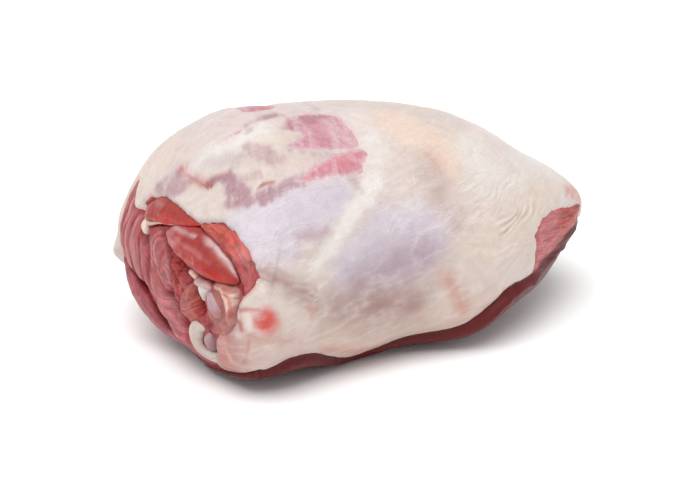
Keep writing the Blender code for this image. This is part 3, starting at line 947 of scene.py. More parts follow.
# The relief of the cut lean beneath its loose muscles.
FURROWS = (
    Furrow(-7.0, 2.2, ((-34, 31), (-24, 30), (-15, 29), (-8, 27), (-3, 23.3), (2, 19.5), (8, 16))),
    Furrow(-8.0, 2.6, ((12, 33), (17, 31), (22, 30), (25.5, 27), (28, 23))),
    Furrow(-7.0, 2.4, ((38, 47), (40, 43), (41, 39))),
    Furrow(-3.0, 2.0, ((-14, 57), (-11, 52), (-9, 47), (-9, 42))),
    Furrow(-2.5, 1.6, ((11, 61), (14, 56), (20, 54.5), (30, 53.5))),
    Furrow(-2.5, 1.5, ((18, 49), (22, 44), (23, 39))),
    Furrow(-3.0, 1.3, ((28, 52), (30, 48), (34, 50))),
    Furrow(-1.8, 1.4, ((5, 46), (9, 40), (16, 37))),
    Furrow(-3.0, 6.0, ((44, 22), (46, 19))),
    Furrow(-2.0, 1.2, ((45, 33), (50, 29))),
)


class Pad(NamedTuple):
    """A raised piece of the cut lean: its outline on the cut map, its height, the width of its slope and its paint, how
    strongly the paint lies, and how dark the painted shade round its edge is.
    """

    paint: Paint
    height: float
    slope: float
    outline: Sequence[tuple[float, float]]
    strength: float = 0.85
    edge: float = 0.75


FATTY = (Paint.GRISTLE, Paint.PALE_FAT, Paint.ROSY_LEAN)
PADS = (
    Pad(Paint.LEAN_MAUVE, 2.2, 5.0, ((-3, 62), (4, 64.5), (9, 60), (10, 54), (14, 48), (15, 41), (9, 36), (1, 41),
                                     (-5, 50), (-6, 58))),
    Pad(Paint.LEAN_MAUVE, 1.4, 4.0, ((-8, 40), (2, 36), (12, 34), (18, 30), (24, 22), (27, 13), (16, 13), (6, 18),
                                     (-2, 25), (-9, 31)), 0.6),
    Pad(Paint.ROSY_LEAN, 0.8, 2.0, ((47, 53), (56, 52), (62, 47), (64, 38), (58, 33), (50, 34), (44, 42)), 0.95, 0.0),
    Pad(Paint.LEAN_SALMON, 2.4, 2.6, ((40, 50), (36.5, 50), (32, 46), (27, 42.5), (23.5, 38), (23, 32), (27.5, 28),
                                      (34, 29.5), (40, 34), (41.5, 38), (38, 42), (39.5, 46))),
    Pad(Paint.LEAN_BRIGHT, 1.7, 1.6, ((12, 58), (17, 60), (21, 55), (25, 51), (26, 46), (21, 47), (16, 51)), 0.6),
    Pad(Paint.LEAN_PALE, 1.5, 1.4, ((19, 47), (24, 45), (26, 40), (24, 36), (20, 38)), 0.5),
    Pad(Paint.GRISTLE, 2.0, 1.4, ((26, 57), (33, 55.5), (40, 54.5), (47, 54.5), (48, 51), (41, 50), (35, 51),
                                  (30, 53)), 0.8, 0.3),
    Pad(Paint.GRISTLE, 3.0, 2.2, ((49, 56), (57, 57), (64, 55), (68.5, 51), (69.5, 44), (67, 39), (62, 37),
                                  (61, 42), (59, 47), (56, 50.5), (52, 51.5)), 0.95, 0.2),
    Pad(Paint.PALE_FAT, 3.0, 1.6, ((40, 53), (47, 53.5), (50, 51), (47, 48), (46, 43), (43, 42), (42, 47)), 1, 0.5),
    Pad(Paint.ROSY_LEAN, 1.6, 2.4, ((49, 35), (57, 34), (61, 38), (63, 44), (68, 50), (72, 42), (66, 32), (60, 22),
                                     (58, 8), (50, 9), (52, 18), (53, 27)), 0.85, 0.15),
    Pad(Paint.LEAN, 0.9, 1.0, ((40, 36), (48, 35), (52, 30), (47, 29.5), (42, 32)), 0.5),
)
CUT_DAUBS = (
    Daub(Paint.LEAN_MAUVE, Trail(((-46, 66), (-40, 48), (-24, 40)), (9, 11, 11)), 0.8, 6, 3),
    Daub(Paint.LEAN_MAUVE, Trail(((-14, 44), (-2, 36), (14, 22)), (8, 9, 7)), 0.6, 5, 3),
    # Painted shade: deep red along the hollow under the tongue muscle.
    Daub(Paint.LEAN_DEEP, Trail(((8, 60), (16, 55), (30, 54), (58, 54)), (2, 2.5, 2, 2)), 0.7, 2.5, 1.5),
    Daub(Paint.LEAN_BRIGHT, Trail(((14, 54), (22, 48), (20, 40)), (4, 5, 4)), 0.5, 3, 2),
    Daub(Paint.FLAP, Trail(((-40, 30), (-16, 21), (0, 11), (20, 8)), (6, 7, 7, 6)), 0.8, 4, 2),
    # Painted shade: the pit and hollow reds follow the sunken furrows and deepen them, over the meat's own deeper red.
    Daub(Paint.PIT, Trail(((-34, 31), (-24, 30), (-15, 29), (-8, 27), (-3, 23.3), (2, 19.5), (8, 16)),
                          (0.8, 1.2, 1.4, 1.4, 1.2, 1.0, 0.6)), 0.8, 1.4, 0.8),
    Daub(Paint.PIT, Trail(((12, 33), (17, 31), (22, 30), (25.5, 27), (28, 23)), (0.8, 2.2, 2.6, 2.4, 1.4)),
         0.95, 1.4, 0.8),
    Daub(Paint.PIT, Trail(((38, 47), (40, 43), (41, 39)), (1.6, 2.2, 1.8)), 0.95, 1.2, 0.6),
    Daub(Paint.HOLLOW, Trail(((-14, 57), (-11, 52), (-9, 47)), (1.0, 1.0, 0.4)), 0.6, 1.5, 0.8),
    Daub(Paint.HOLLOW, Trail(((12, 56), (14, 50), (17, 45)), (0.8, 1.6, 0.6)), 0.75, 1.2, 1.2),
    Daub(Paint.PIT, Trail(((22, 47), (25, 43), (24, 39)), (0.6, 1.5, 0.5)), 0.75, 1.0, 1.2),
    Daub(Paint.LEAN_PALE, Trail(((17, 52), (21, 48), (20, 42)), (0.3, 0.9, 0.3)), 0.6, 0.8, 1.0),
    Daub(Paint.GRISTLE, Trail(((30, 54), (35, 53.5), (39, 53)), (0.3, 0.9, 0.4)), 0.8, 0.7, 0.9),
    Daub(Paint.WARM_BLUSH, Trail(((57, 36), (60, 31), (57, 22)), (0.8, 1.0, 0.8)), 0.7, 1.2, 0.8),
    Daub(Paint.PEACH, Trail(((54, 54), (62, 52.5)), (1.0, 1.2)), 0.6, 1.4, 1),
    Daub(Paint.LEAN_ORANGE, Trail(((58, 53), (64, 50), (66, 44)), (0.4, 0.6, 0.6)), 0.75, 1.0, 0.6),
    Daub(Paint.LEAN, Trail(((66, 53), (68.5, 48), (66, 43)), (0.5, 0.7, 0.7)), 0.6, 1.0, 0.6),
    Daub(Paint.WARM_BLUSH, Trail(((51, 24), (50, 12)), (0.8, 1.2)), 0.6, 1.2, 0.8),
)
WINDOW_DAUBS = (
    Daub(Paint.STRIP_LEAN, Trail(((-58, 71), (-42, 75), (-25, 79)), (3, 5, 6)), 0.9, 4, 2),
    Daub(Paint.WINDOW_STREAK, Trail(((-24, 110), (-23, 88)), (3, 4)), 0.5, 4, 3),
    Daub(Paint.WINDOW_DEEP, Trail(((-50, 104), (-42, 109), (-34, 111), (-26, 116), (-17, 114)), (3, 5, 6, 3, 1.5)),
         0.85, 3, 3),
    Daub(Paint.WINDOW_DEEP, Trail(((-15, 110), (-18, 92), (-20, 80)), (0.8, 0.9, 0.9)), 0.7, 1.6, 1.6),
    Daub(Paint.WINDOW_STREAK, Trail(((-30, 80), (-23, 74)), (2, 3)), 0.4, 3, 3),
    Daub(Paint.LEAN_MAUVE, Trail(((-46, 134), (-36, 154)), (8, 10)), 0.7, 6, 2),
)


class Strands(NamedTuple):
    """The run of the muscle strands on the cut face: how far out, how far along, and 1 on crests to 0 in grooves."""

    out: Array
    run: Array
    crest: Array


@dataclass
class LeanBody:
    """The lean under the fat: bare at the cut end, in the windows, across the shank and on the underside."""

    rows: tuple = (166, 106, 20, 0.85)
    columns: int = 332
    crowding: float = 0.30
    crowded_at: float = math.radians(62)
    strand_centre: tuple = (24.0, 51.0)
    strand_stretch: float = 1.35
    strand_pitch: float = 6.4
    strand_height: float = 1.7
    streak_height: float = 0.3
    belly_height: float = 3.0
    fray_centre: tuple = (17.0, 50.0)
    fray_radius: float = 11.0

    def strands(self, marks: Markings) -> Strands:
        """Give the strands' run: bent ellipses around the tongue muscle, with crests a root of a sine.

        Args:
            marks: the maps of the grid.

        Returns:
            The run.
        """
        across = (marks.q - self.strand_centre[0]) / self.strand_stretch
        upward = marks.z - self.strand_centre[1]
        out = np.hypot(across, upward) + 2.6 * flat_noise(marks.q, marks.z, (15.0, 15.0), 82, 2)
        turn = np.arctan2(upward, -across)
        shift = 2.4 * flat_noise(turn * 30, out, (14.0, 8.0), 83, 2)
        crest = np.abs(np.sin(np.pi * (out + shift) / self.strand_pitch)) ** 0.6
        return Strands(out, turn * 30, crest)

    def cut_relief(self, marks: Markings, strands: Strands) -> Array:
        """Give the height of the cut face: strands, furrows, frayed meat and the beds of the loose muscles."""
        q, z = marks.q, marks.z
        share = 0.3 + 0.7 * ramp(-q, -20, 2)
        uneven = 0.75 + 0.5 * flat_noise(strands.run, strands.out, (16.0, 6.0), 84)
        height = self.strand_height * (strands.crest - 1) * share * uneven
        height = height + 0.45 * flat_noise(strands.run, strands.out, (9.0, 1.7), 85, 2)
        frayed = bell(np.hypot(q - self.fray_centre[0], z - self.fray_centre[1]) / self.fray_radius)
        height = height + 1.5 * frayed * noise(marks.grid.points, 4.0, 86, 3)
        height = height + 0.5 * noise(marks.grid.points, 9.0, 87, 2)
        for furrow in FURROWS:
            away = -Trail(furrow.line, (0.0,) * len(furrow.line)).inside(q, z)
            height = height + furrow.height * bell((away + 0.5 * marks.fray) / furrow.reach)
        for pad in PADS:
            height = height + pad.height * (1 - (1 - ramp(self.into(pad, marks), 0, 2 * pad.slope)) ** 2)
        return height - self.beds(marks)

    def into(self, pad: Pad, marks: Markings) -> Array:
        """Give how far inside a pad's frayed outline each place is."""
        return inside_outline(pad.outline, marks.q, marks.z) + 1.1 * marks.fray

    def fatty(self, marks: Markings) -> Array:
        """Give where fat and gristle lie in the cut face, from 0 to 1, so that they carry no muscle strands."""
        return np.max([ramp(self.into(pad, marks), -0.4, 1.0) for pad in PADS if pad.paint in FATTY], axis=0)

    def beds(self, marks: Markings) -> Array:
        """Give how deep the loose muscles lie in the face: each one's own depth under its outline."""
        beds = [lobe.sink * ramp(Trail(lobe.line, lobe.half).inside(marks.q, marks.z), -1.6, 0.8) for lobe in LOBES]
        return np.max(beds, axis=0)

    def cut_tone(self, marks: Markings, strands: Strands) -> Array:
        """Give the cut face's colour: daubs, painted shade round the pads, in the strands' grooves and round the loose
        muscles, painted highlight on the strands' crests, and streaks along the strands.
        """
        tone = np.broadcast_to(linear(Paint.LEAN), (*marks.q.shape, 3))
        for pad in PADS:
            depth = self.into(pad, marks)
            # Painted shade: a dark red rim round each pad, where it meets the face.
            tone = tone + (pad.edge * bell((depth + 1.0) / 1.3))[..., None] * (linear(Paint.LEAN_DEEP) - tone)
            tone = tone + (pad.strength * ramp(depth, -0.4, 1.0))[..., None] * (linear(pad.paint) - tone)
        tone = daub_on(tone, CUT_DAUBS, marks.q, marks.z, marks.fray)
        left, plain = ramp(-marks.q, -18, 4), 1 - 0.85 * self.fatty(marks)
        # Painted shade in the grooves between the strands.
        groove_shade = (0.8 * (0.3 + 0.7 * left) * plain * (1 - strands.crest) ** 1.3)[..., None]
        tone = tone + groove_shade * (linear(Paint.LEAN_DEEP) - tone)
        # Painted highlight on the strands' crests.
        pale = ramp(flat_noise(strands.run, strands.out, (22.0, 2.6), 88, 3), 0.05, 0.5) * strands.crest
        tone = tone + (0.6 * pale * plain * (0.3 + 0.7 * left))[..., None] * (linear(Paint.LEAN_PALE) - tone)
        bright = ramp(flat_noise(strands.run, strands.out, (14.0, 2.4), 89, 2), 0.1, 0.6)
        tone = tone + (0.35 * bright * plain)[..., None] * (linear(Paint.LEAN_BRIGHT) - tone)
        # Painted shade where the loose muscles sit in the face.
        bed_shade = ramp(self.beds(marks), 0.2, 2.0)[..., None]
        tone = tone + 0.6 * bed_shade * (linear(Paint.LEAN_DEEP) - tone)
        return tone * (1 + 0.27 * plain * flat_noise(strands.run, strands.out, (6.0, 1.0), 92, 3))[..., None]

    def tone(self, marks: Markings, strands: Strands, grain: Array) -> Array:
        """Give the lean's colour: pale and streaked in the windows, red at the cuts, and below the fat a dark red
        darkened further as painted shade.
        """
        grid = marks.grid
        along_fibre, across_fibre = grain[..., 0], grain[..., 1]
        streak = ramp(flat_noise(along_fibre, across_fibre, (26.0, 2.2), 91, 3), -0.05, 0.6)[..., None]
        tone = np.broadcast_to(linear(Paint.WINDOW_LEAN), (*grid.u.shape, 3))
        tone = daub_on(tone, WINDOW_DAUBS, grid.u, grid.v, marks.fray)
        tone = tone + 0.6 * streak * (linear(Paint.WINDOW_STREAK) - tone)
        rim = ramp(-marks.window, -2.2, 0.0)[..., None]
        tone = tone + 0.6 * rim * (linear(Paint.WINDOW_STREAK) - tone)
        lines = flat_noise(along_fibre, across_fibre, (12.0, 1.6), 93, 3)[..., None]
        toward_tip = ramp(grid.u + 4 * marks.fray, 70, 88)[..., None]
        shank = linear(Paint.SHANK_LEAN) + toward_tip * (linear(Paint.LEAN_ORANGE) - linear(Paint.SHANK_LEAN))
        shank = shank + ramp(lines, 0.0, 0.6) * (linear(Paint.STAIN) - shank) * toward_tip
        shank = shank + ramp(-lines, 0.0, 0.6) * 0.6 * (linear(Paint.LEAN_DEEP) - shank)
        tone = tone + ramp(marks.cut, -3, -0.5)[..., None] * (self.cut_tone(marks, strands) - tone)
        tone = tone + ramp(marks.shank, -4, -1)[..., None] * (shank - tone)
        # Painted shade: the hidden underside below the fat's edge is laid in very dark red.
        below = ramp(marks.below - 4 * ramp(marks.cut, -4, 0), -2, 0.5)[..., None]
        return tone + below * (linear(Paint.UNDERSIDE) - tone)

    def belly(self, marks: Markings) -> Array:
        """Give how far the lean swells out below the edge of the fat, along the front where the leg rests."""
        swell = ramp(marks.below, 0, 6) * (1 - ramp(marks.below, 16, 34)) * ramp(marks.q, 0, 30)
        return self.belly_height * swell * ramp(marks.grid.u, -112, -92) * (1 - 0.8 * ramp(marks.grid.u, 20, 70))

    def grain(self, marks: Markings, strands: Strands) -> Array:
        """Give the run of the fibres: round the cut face, up the windows and down the shank's cut."""
        u, v = marks.grid.u, marks.grid.v
        window = np.stack([0.33 * u + 0.94 * v, 0.94 * u - 0.33 * v, 0 * u], axis=-1)
        shank = np.stack([0.93 * u - 0.36 * v, 0.36 * u + 0.93 * v, 0 * u], axis=-1)
        cut = np.stack([strands.run, strands.out, 0 * u], axis=-1)
        return np.where((marks.cut > -4)[..., None], cut, np.where((u > 40)[..., None], shank, window))

    def build(self) -> bpy.types.Object:
        """Build the lean: the form less the depth of the fat, and its own relief where it is cut.

        Returns:
            The piece.
        """
        grid = skin_grid(spread_rows(*self.rows), spread_columns(self.columns, self.crowding, self.crowded_at))
        marks = Markings(grid)
        strands = self.strands(marks)
        grain = self.grain(marks, strands)
        on_cut = grid.faces_cut * ramp(marks.cut, -2.0, 1.0)
        on_shank = ramp(marks.shank, -1.5, 1.0)
        streaks = flat_noise(grain[..., 0], grain[..., 1], (12.0, 2.2), 94, 2)
        height = -FAT_DEPTH + on_cut * (self.cut_relief(marks, strands) + FAT_DEPTH)
        height = height + (1 - on_cut) * self.streak_height * streaks
        height = height + FORM.rolls(grid.points) + on_shank * (0.8 * streaks + 0.5)
        level = grid.normals * np.array([1, 1, 0])
        level /= np.linalg.norm(level, axis=-1, keepdims=True) + 1e-6
        points = grid.points + grid.normals * height[..., None] + self.belly(marks)[..., None] * (grid.normals + level)
        points[..., 2] = np.maximum(points[..., 2], 0)
        fibre = np.clip(0.3 + 0.7 * np.maximum(on_cut * (1 - 0.8 * self.fatty(marks)), on_shank), 0, 1)
        return make_piece("lean_body", points, self.tone(marks, strands, grain), grain, fibre, LEAN.material())


@dataclass(frozen=True)
class Lobe:
    """A muscle, fold or lump that lies in the cut face: a rounded profile carried along a line of the cut map."""

    name: str
    line: tuple
    half: tuple
    rise: tuple
    paint: Paint
    # A paler band on one side, laid as painted highlight.
    crest: Paint | None = None
    crest_side: float = 0.5
    crest_width: float = 0.22
    crest_span: tuple = (0.0, 1.0)
    crest_strength: float = 0.8
    # The colour of the painted shade towards the root, where the lobe meets the face.
    dark: Paint = Paint.LEAN_DEEP
    daubs: tuple = ()
    root: float = 4.0
    sink: float = 2.2
    ridge: float = 0.25
    lump: float = 0.5
    fibre: float = 0.6
    streak: float = 0.16
    blotch: float = 0.12
    seed: int = 1
    power: float = 2.4
    rows: int = 150
    columns: int = 72

    def build(self, finish: bpy.types.Material) -> bpy.types.Object:
        """Build the lobe.

        The line is a smooth curve through its points. Across it the profile is a superellipse, as wide as half and
        as proud as rise on the outside, and rooted in the meat on the inside. Ridges run along it.

        Args:
            finish: the material.

        Returns:
            The piece.
        """
        line = np.array(self.line, float)
        run = np.concatenate([[0], np.cumsum(np.linalg.norm(np.diff(line, axis=0), axis=1))])
        share = (1 - np.cos(np.linspace(0, np.pi, self.rows))) / 2
        share = 0.6 * share + 0.4 * np.linspace(0, 1, self.rows)
        at = share * run[-1]
        q, z = along(run, line[:, 0], at), along(run, line[:, 1], at)
        slope = np.stack([np.gradient(q), np.gradient(z)], axis=-1)
        slope /= np.linalg.norm(slope, axis=-1, keepdims=True)
        theta = np.linspace(0, 2 * np.pi, self.columns, endpoint=False)
        taper = (1 - np.abs(2 * share - 1) ** 5) ** 0.5
        half = along(run, self.half, at) * taper
        rise = along(run, self.rise, at) * taper
        cosine = np.sign(np.cos(theta)) * np.abs(np.cos(theta)) ** (2 / self.power)
        sine = np.sign(np.sin(theta)) * np.abs(np.sin(theta)) ** (2 / self.power)
        across = half[:, None] * cosine
        length = np.broadcast_to(at[:, None], across.shape)
        bend = 1 + 0.12 * flat_noise(length, across, (7.0, 5.0), self.seed + 400, 2)
        place_q = q[:, None] - slope[:, 1:2] * across * bend
        place_z = np.maximum(z[:, None] + slope[:, 0:1] * across * bend, 0.6)
        proud = np.where(sine > 0, rise[:, None] * sine, self.root * taper[:, None] * sine)
        ridges = self.ridge * flat_noise(length, across, (11.0, 1.6), self.seed + 200, 2)
        lumps = self.lump * flat_noise(length, across, (6.0, 5.0), self.seed + 300, 2)
        proud = proud + (ridges + lumps) * np.maximum(sine, 0) * taper[:, None]
        face = FORM.cut_face_x(place_q, place_z)
        points = np.stack([face + self.sink - proud, -place_q, place_z], axis=-1)
        grain = np.stack([length, across, 0 * across], axis=-1)
        return make_piece(self.name, points, self.tone(share, theta, length, across, points), grain,
                          np.full(across.shape, self.fibre), finish)

    def tone(self, share: Array, theta: Array, length: Array, across: Array, points: Array) -> Array:
        """Give the colour: its paint, with painted shade towards the root, streaked along, with a paler crest on one
        side as painted highlight.
        """
        tone = np.broadcast_to(linear(self.paint), (*across.shape, 3))
        tone = daub_on(tone, self.daubs, -points[..., 1], points[..., 2], noise(points, 5.0, self.seed + 900, 3))
        # Painted shade towards the root, where the lobe meets the face.
        root_shade = ramp(-np.sin(theta), -0.42, 0.2)[None, :, None]
        tone = tone + root_shade * 0.75 * (linear(self.dark) - tone)
        streaks = flat_noise(length, across, (8.0, 1.1), self.seed + 500, 3)
        tone = tone * (1 + self.streak * streaks + self.blotch * noise(points, 4.0, self.seed + 600, 3))[..., None]
        # Painted highlight: a paler band along one side.
        if self.crest:
            start, end = self.crest_span
            lengthwise = ramp(share, start - 0.06, start + 0.10) * (1 - ramp(share, end - 0.08, end + 0.05))
            width = self.crest_width * (0.35 + 0.65 * lengthwise[:, None]) * (1 + 0.5 * noise(
                points, 5.0, self.seed + 700, 2))
            band = bell((theta[None, :] / np.pi - self.crest_side) / width) ** 0.7
            band = band * lengthwise[:, None] * self.crest_strength * (1 + 0.25 * streaks)
            tone = tone + np.clip(band, 0, 1)[..., None] * (linear(self.crest) - tone)
        return tone


LOBES = (
    Lobe("cap_muscle", ((-23.5, 66), (-16, 67), (-7, 69.5), (4, 70.3), (15, 71), (27, 72)),
         (1.6, 4.6, 5.2, 4.4, 2.8, 0.9), (2.0, 4.2, 4.6, 4.4, 3.6, 2.0), Paint.CAP, seed=1, fibre=0.25, ridge=0.12,
         lump=0.5, streak=0.10, daubs=(
             Daub(Paint.LEAN_PALE, Trail(((-23, 66), (-16, 63)), (1.0, 1.2)), 0.7, 1.6, 1),
             Daub(Paint.LEAN_BRIGHT, Trail(((-4, 66), (14, 69), (26, 71)), (2.5, 2.6, 2.2)), 0.9, 2, 1),
             # Silverskin sheen: a painted highlight on the cap's top.
             Daub(Paint.SILVERSKIN, Trail(((-10, 72), (-4, 73)), (0.6, 0.8)), 0.35, 2, 1),
         )),
    Lobe("rim_muscle", ((26, 72), (34, 72.3), (42, 72.4), (50, 70.4), (57, 67.4), (63, 63), (67.5, 57.5), (68.5, 50)),
         (0.9, 2.6, 3.5, 3.8, 3.5, 3.0, 2.5, 1.0), (2.0, 3.4, 3.8, 3.8, 3.6, 3.4, 3.2, 1.6), Paint.LEAN_ORANGE, seed=2,
         ridge=1.1, lump=1.3, fibre=1.0, streak=0.35, blotch=0.35, daubs=(
             Daub(Paint.LEAN_PALE, Trail(((54, 70), (60, 66.5), (64, 64)), (0.8, 1.8, 1.2)), 0.6, 2, 1.5),
             Daub(Paint.FLAP, Trail(((62, 64), (67.5, 57), (68.5, 50)), (1.4, 3.4, 3.4)), 0.85, 2.5, 1.5),
             # Painted shade: deep red along the inner edge, where the rim meets the tongue.
             Daub(Paint.LEAN_DEEP, Trail(((54, 65), (60, 60.5), (65, 53)), (1.2, 2.2, 2.2)), 0.9, 1.2, 1.2),
             Daub(Paint.LEAN_DEEP, Trail(((34, 69.6), (48, 67.6), (60, 62), (66, 53)), (1.8, 2, 2, 1.6)), 0.85, 1.4, 1),
             Daub(Paint.LEAN_BRIGHT, Trail(((36, 74), (52, 72), (64, 63)), (1.0, 1.2, 1.0)), 0.6, 1.6, 1),
         )),
    Lobe("tongue_muscle", ((4, 63), (11, 64), (20, 63.6), (32, 62.8), (44, 61.4), (54, 59.2), (62.5, 56.2)),
         (2.8, 5.0, 6.6, 7.6, 7.0, 5.6, 3.8), (2.6, 4.6, 5.2, 5.6, 5.6, 5.0, 3.6), Paint.CAP,
         # Its silverskin band along the top edge is painted sheen.
         Paint.SILVERSKIN, crest_side=0.15, crest_width=0.07, crest_span=(0.50, 0.98), crest_strength=1.0, seed=3,
         fibre=0.45, ridge=0.35, lump=0.8, streak=0.16, daubs=(
             # Its pale marks are painted highlights, its silverskin line painted sheen, and its pit lines along the
             # lower edge painted shade.
             Daub(Paint.LEAN_MAUVE, Trail(((4, 63), (14, 66)), (2.5, 2.0)), 0.6, 3, 2),
             Daub(Paint.LEAN_BRIGHT, Trail(((18, 60), (34, 59), (50, 57)), (3, 3, 3)), 0.7, 3, 2),
             Daub(Paint.LEAN_PALE, Trail(((9, 58), (14, 61), (22, 65)), (1.0, 1.4, 1.0)), 0.5, 2, 1.5),
             Daub(Paint.PIT, Trail(((20, 58), (28, 56.4), (36, 56), (43, 56.5)), (0.4, 1.2, 1.4, 0.5)), 0.8, 1.4, 1.4),
             Daub(Paint.LEAN_PALE, Trail(((24, 64.5), (36, 64), (48, 62)), (0.5, 0.8, 0.4)), 0.4, 1.2, 1.2),
             Daub(Paint.LEAN_BRIGHT, Trail(((48, 57), (57, 57)), (1.6, 1.8)), 0.8, 2, 1),
             Daub(Paint.PIT, Trail(((45, 59), (50, 58.6), (55, 57.5)), (0.6, 1.2, 0.9)), 0.85, 1.2, 1.0),
             Daub(Paint.SILVERSKIN, Trail(((6, 67), (18, 68.2), (30, 68.5)), (0.5, 0.5, 0.7)), 0.7, 0.9, 0.6),
         )),
    Lobe("seam_fat", ((-19, 63.5), (-12, 62.5), (-2, 65.5), (8, 67.6), (18, 69.4)), (0.9, 1.2, 0.7, 0.5, 0.3),
         (2.0, 2.6, 2.4, 2.0, 1.2), Paint.FIRM_FAT, seed=4, dark=Paint.BROWN_PINK, fibre=0.2, sink=1.6),
    Lobe("fat_knob", ((-17, 62.5), (-13.5, 60.5), (-11.5, 57)), (1.5, 2.4, 1.5), (2.4, 3.2, 2.2), Paint.WARM_FAT,
         seed=5, dark=Paint.BROWN_PINK, fibre=0.1, sink=1.4, rows=70, columns=48),
    Lobe("lower_flap", ((-45.5, 38), (-40, 33.5), (-31.5, 28.5), (-22, 23.8), (-13, 19.5), (-5, 14.6), (4, 11.2),
                        (16, 9.4), (27, 8)),
         (1.8, 3.8, 5.0, 5.4, 5.4, 4.6, 3.8, 3.0, 1.8), (1.8, 3.8, 5.2, 5.6, 5.4, 4.6, 3.4, 2.2, 1.2), Paint.FLAP,
         # Its pale crest is a painted highlight.
         Paint.LEAN_PALE, crest_side=0.40, crest_width=0.13, crest_strength=0.2, seed=8, fibre=0.7, ridge=0.4, lump=0.7,
         root=6.0, rows=190),
)


@dataclass
class CutMuscles:
    """The loose muscles, folds and lumps of the cut end."""

    sheathed: tuple = ("cap_muscle", "tongue_muscle")
    fatty: tuple = ("seam_fat", "fat_knob")

    def build(self) -> list[bpy.types.Object]:
        """Build every lobe with its finish.

        Returns:
            The pieces.
        """
        lean, fat = bpy.data.materials[LEAN.name], bpy.data.materials[FAT.name]
        sheathed = SHEATHED.material()
        finishes = {**dict.fromkeys(self.sheathed, sheathed), **dict.fromkeys(self.fatty, fat)}
        return [lobe.build(finishes.get(lobe.name, lean)) for lobe in LOBES]


@dataclass
class Bones:
    """The thigh bone, with its smooth pearly end, and the sawn stub of the hip bone with its marrow."""

    thigh_axis: tuple = (
        (-111.5, -52.7, 44.2), (-96, -50, 45), (-74, -44, 46), (-18, -30, 47), (36, -16, 46), (64, -8, 45))
    thigh_wide: tuple = (12.5, 12.0, 8.5, 9.0, 13.0, 14.0)
    thigh_narrow: tuple = (5.0, 7.5, 8.0, 9.0, 13.0, 14.0)
    thigh_tilt: float = math.radians(-47)
    thigh_power: float = 4.0
    rows: int = 220
    columns: int = 96

    def thigh_bone(self, finish: bpy.types.Material) -> bpy.types.Object:
        """Build the thigh bone: a tilted oval carried along its axis, swelling to its knuckle, blunt at both ends.

        Args:
            finish: the material.

        Returns:
            The piece.
        """
        axis = np.array(self.thigh_axis, float)
        run = np.concatenate([[0], np.cumsum(np.linalg.norm(np.diff(axis, axis=0), axis=1))])
        turn = np.linspace(0, np.pi, self.rows)
        place = (1 - np.sign(np.cos(turn)) * np.abs(np.cos(turn)) ** (2 / self.thigh_power)) / 2
        girth = np.sin(turn) ** (2 / self.thigh_power)
        phi = np.linspace(-np.pi, np.pi, self.columns, endpoint=False)
        centre = np.stack([along(run, axis[:, k], place * run[-1]) for k in range(3)], axis=-1)
        points = np.repeat(centre[:, None, :], self.columns, axis=1)
        wide = (girth * along(run, self.thigh_wide, place * run[-1]))[:, None] * np.cos(phi)
        narrow = (girth * along(run, self.thigh_narrow, place * run[-1]))[:, None] * np.sin(phi)
        points[..., 1] -= wide * math.cos(self.thigh_tilt) - narrow * math.sin(self.thigh_tilt)
        points[..., 2] += wide * math.sin(self.thigh_tilt) + narrow * math.cos(self.thigh_tilt)
        points += 0.6 * noise(points, 6.0, 800, 2)[..., None] * np.array([1, 0.6, 0.6])
        rim = ramp(girth, 0.72, 0.95)[:, None] * ramp(np.cos(phi - 2.4), -0.2, 0.8)[None, :]
        tone = np.broadcast_to(linear(Paint.BONE_LILAC), points.shape)
        tone = tone + rim[..., None] * (linear(Paint.PALE_FAT) - tone)
        foot = 0.8 * ramp(np.cos(phi) + 0.25 * noise(points, 3.0, 802, 2), 0.55, 1.0)
        tone = tone + foot[..., None] * (linear(Paint.ROSY_LEAN) - tone)
        tone = tone * (1 + 0.08 * noise(points, 4.0, 801, 3))[..., None]
        return make_piece("thigh_bone_end", points, tone, points, np.zeros(points.shape[:2]), finish)

    def build(self) -> list[bpy.types.Object]:
        """Build both bones.

        Returns:
            The thigh bone, and the hip bone's rim and marrow.
        """
        finish = BONE.material()
        rim = Lobe("hip_bone_rim", ((43.5, 29.8), (38.5, 28.3), (35, 24.8), (34.5, 20), (36.7, 16.3), (41, 14.6),
                                    (46, 15.2), (50, 17.6)),
                   (2.4, 4.0, 4.5, 4.1, 3.9, 4.1, 4.1, 3.0), (2.2, 3.6, 4.0, 3.8, 3.8, 3.6, 3.2, 1.8),
                   Paint.BONE_WHITE, seed=60, dark=Paint.BROWN_PINK, fibre=0.0, ridge=0.1, lump=0.4, sink=1.8,
                   root=8.0, rows=200)
        marrow = Lobe("hip_bone_marrow", ((42.5, 19), (45.7, 22.8), (49, 28)), (3.0, 4.6, 3.2), (2.4, 3.2, 2.4),
                      Paint.MARROW, Paint.BONE_LILAC, crest_side=0.35, crest_width=0.2, seed=61,
                      dark=Paint.LEAN_DEEP, fibre=0.0, ridge=0.1, lump=0.3, sink=2.0, root=8.0)
        return [self.thigh_bone(finish), rim.build(finish), marrow.build(finish)]


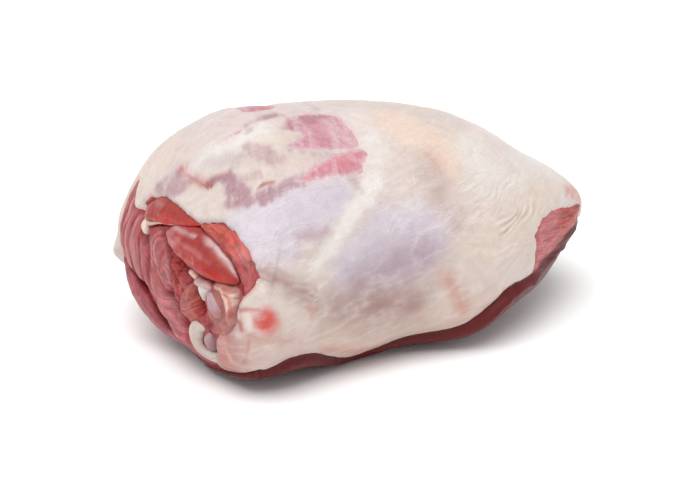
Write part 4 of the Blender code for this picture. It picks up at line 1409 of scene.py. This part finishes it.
@dataclass
class Studio:
    """A plain white floor, soft light from above, and the camera."""

    floor_half_m: float = 4.0
    target_mm: tuple = (-5.2, -4.7, 34.7)
    azimuth: float = -33.5
    elevation: float = 21.0
    distance_m: float = 1.0
    lens_mm: float = 105.0
    sky: float = 0.74
    sun: float = 2.08
    sun_spread: float = 60.0
    sun_from: tuple = (-0.28, -0.18, 1.0)

    def floor(self) -> None:
        """Lay the floor, just under the leg."""
        half = self.floor_half_m
        mesh = bpy.data.meshes.new("studio_floor")
        mesh.from_pydata([(-half, -half, 0), (half, -half, 0), (half, half, 0), (-half, half, 0)], [], [(0, 1, 2, 3)])
        material = bpy.data.materials.new("white_paper")
        material.use_nodes = True
        shader = material.node_tree.nodes["Principled BSDF"]
        shader.inputs["Base Color"].default_value = (*linear(Paint.FLOOR), 1)
        shader.inputs["Roughness"].default_value = 0.8
        shader.inputs["Specular IOR Level"].default_value = 0.1
        mesh.materials.append(material)
        floor = bpy.data.objects.new("studio_floor", mesh)
        bpy.context.scene.collection.objects.link(floor)

    def light(self) -> None:
        """Set an even sky and one very broad light above."""
        scene = bpy.context.scene
        scene.world = bpy.data.worlds.new("studio")
        scene.world.use_nodes = True
        background = scene.world.node_tree.nodes["Background"]
        background.inputs["Color"].default_value = (1, 1, 1, 1)
        background.inputs["Strength"].default_value = self.sky
        lamp = bpy.data.lights.new("overhead", "SUN")
        lamp.energy = self.sun
        lamp.angle = math.radians(self.sun_spread)
        holder = bpy.data.objects.new("overhead", lamp)
        holder.rotation_euler = Vector(self.sun_from).to_track_quat("Z", "Y").to_euler()
        scene.collection.objects.link(holder)
        scene.view_settings.view_transform = "Standard"

    def camera(self) -> None:
        """Aim the camera at the leg from its distance, azimuth and elevation."""
        azimuth, elevation = math.radians(self.azimuth), math.radians(self.elevation)
        back = Vector((math.sin(azimuth) * math.cos(elevation), -math.cos(azimuth) * math.cos(elevation),
                       math.sin(elevation)))
        lens = bpy.data.cameras.new("camera")
        lens.lens = self.lens_mm
        lens.sensor_width = 36.0
        lens.clip_end = 50.0
        camera = bpy.data.objects.new("camera", lens)
        camera.location = Vector(self.target_mm) * MM + back * self.distance_m
        camera.rotation_euler = back.to_track_quat("Z", "Y").to_euler()
        bpy.context.scene.collection.objects.link(camera)
        bpy.context.scene.camera = camera

    def build(self) -> None:
        """Build the studio."""
        self.floor()
        self.light()
        self.camera()


def main() -> None:
    """Build the studio, the meat and the bones, and hang every piece on the leg's one body."""
    logging.basicConfig(level=logging.INFO)
    Studio().build()
    fat = FatCover().build()
    lean = LeanBody().build()
    muscles = CutMuscles().build()
    bones = Bones().build()
    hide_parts("leg_meat")
    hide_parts("thigh_bone")
    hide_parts("hip_bone")
    for piece in [fat, lean, *muscles]:
        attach(piece, "root")
    for piece in bones:
        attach(piece, "root")


if __name__ == "__main__":
    main()
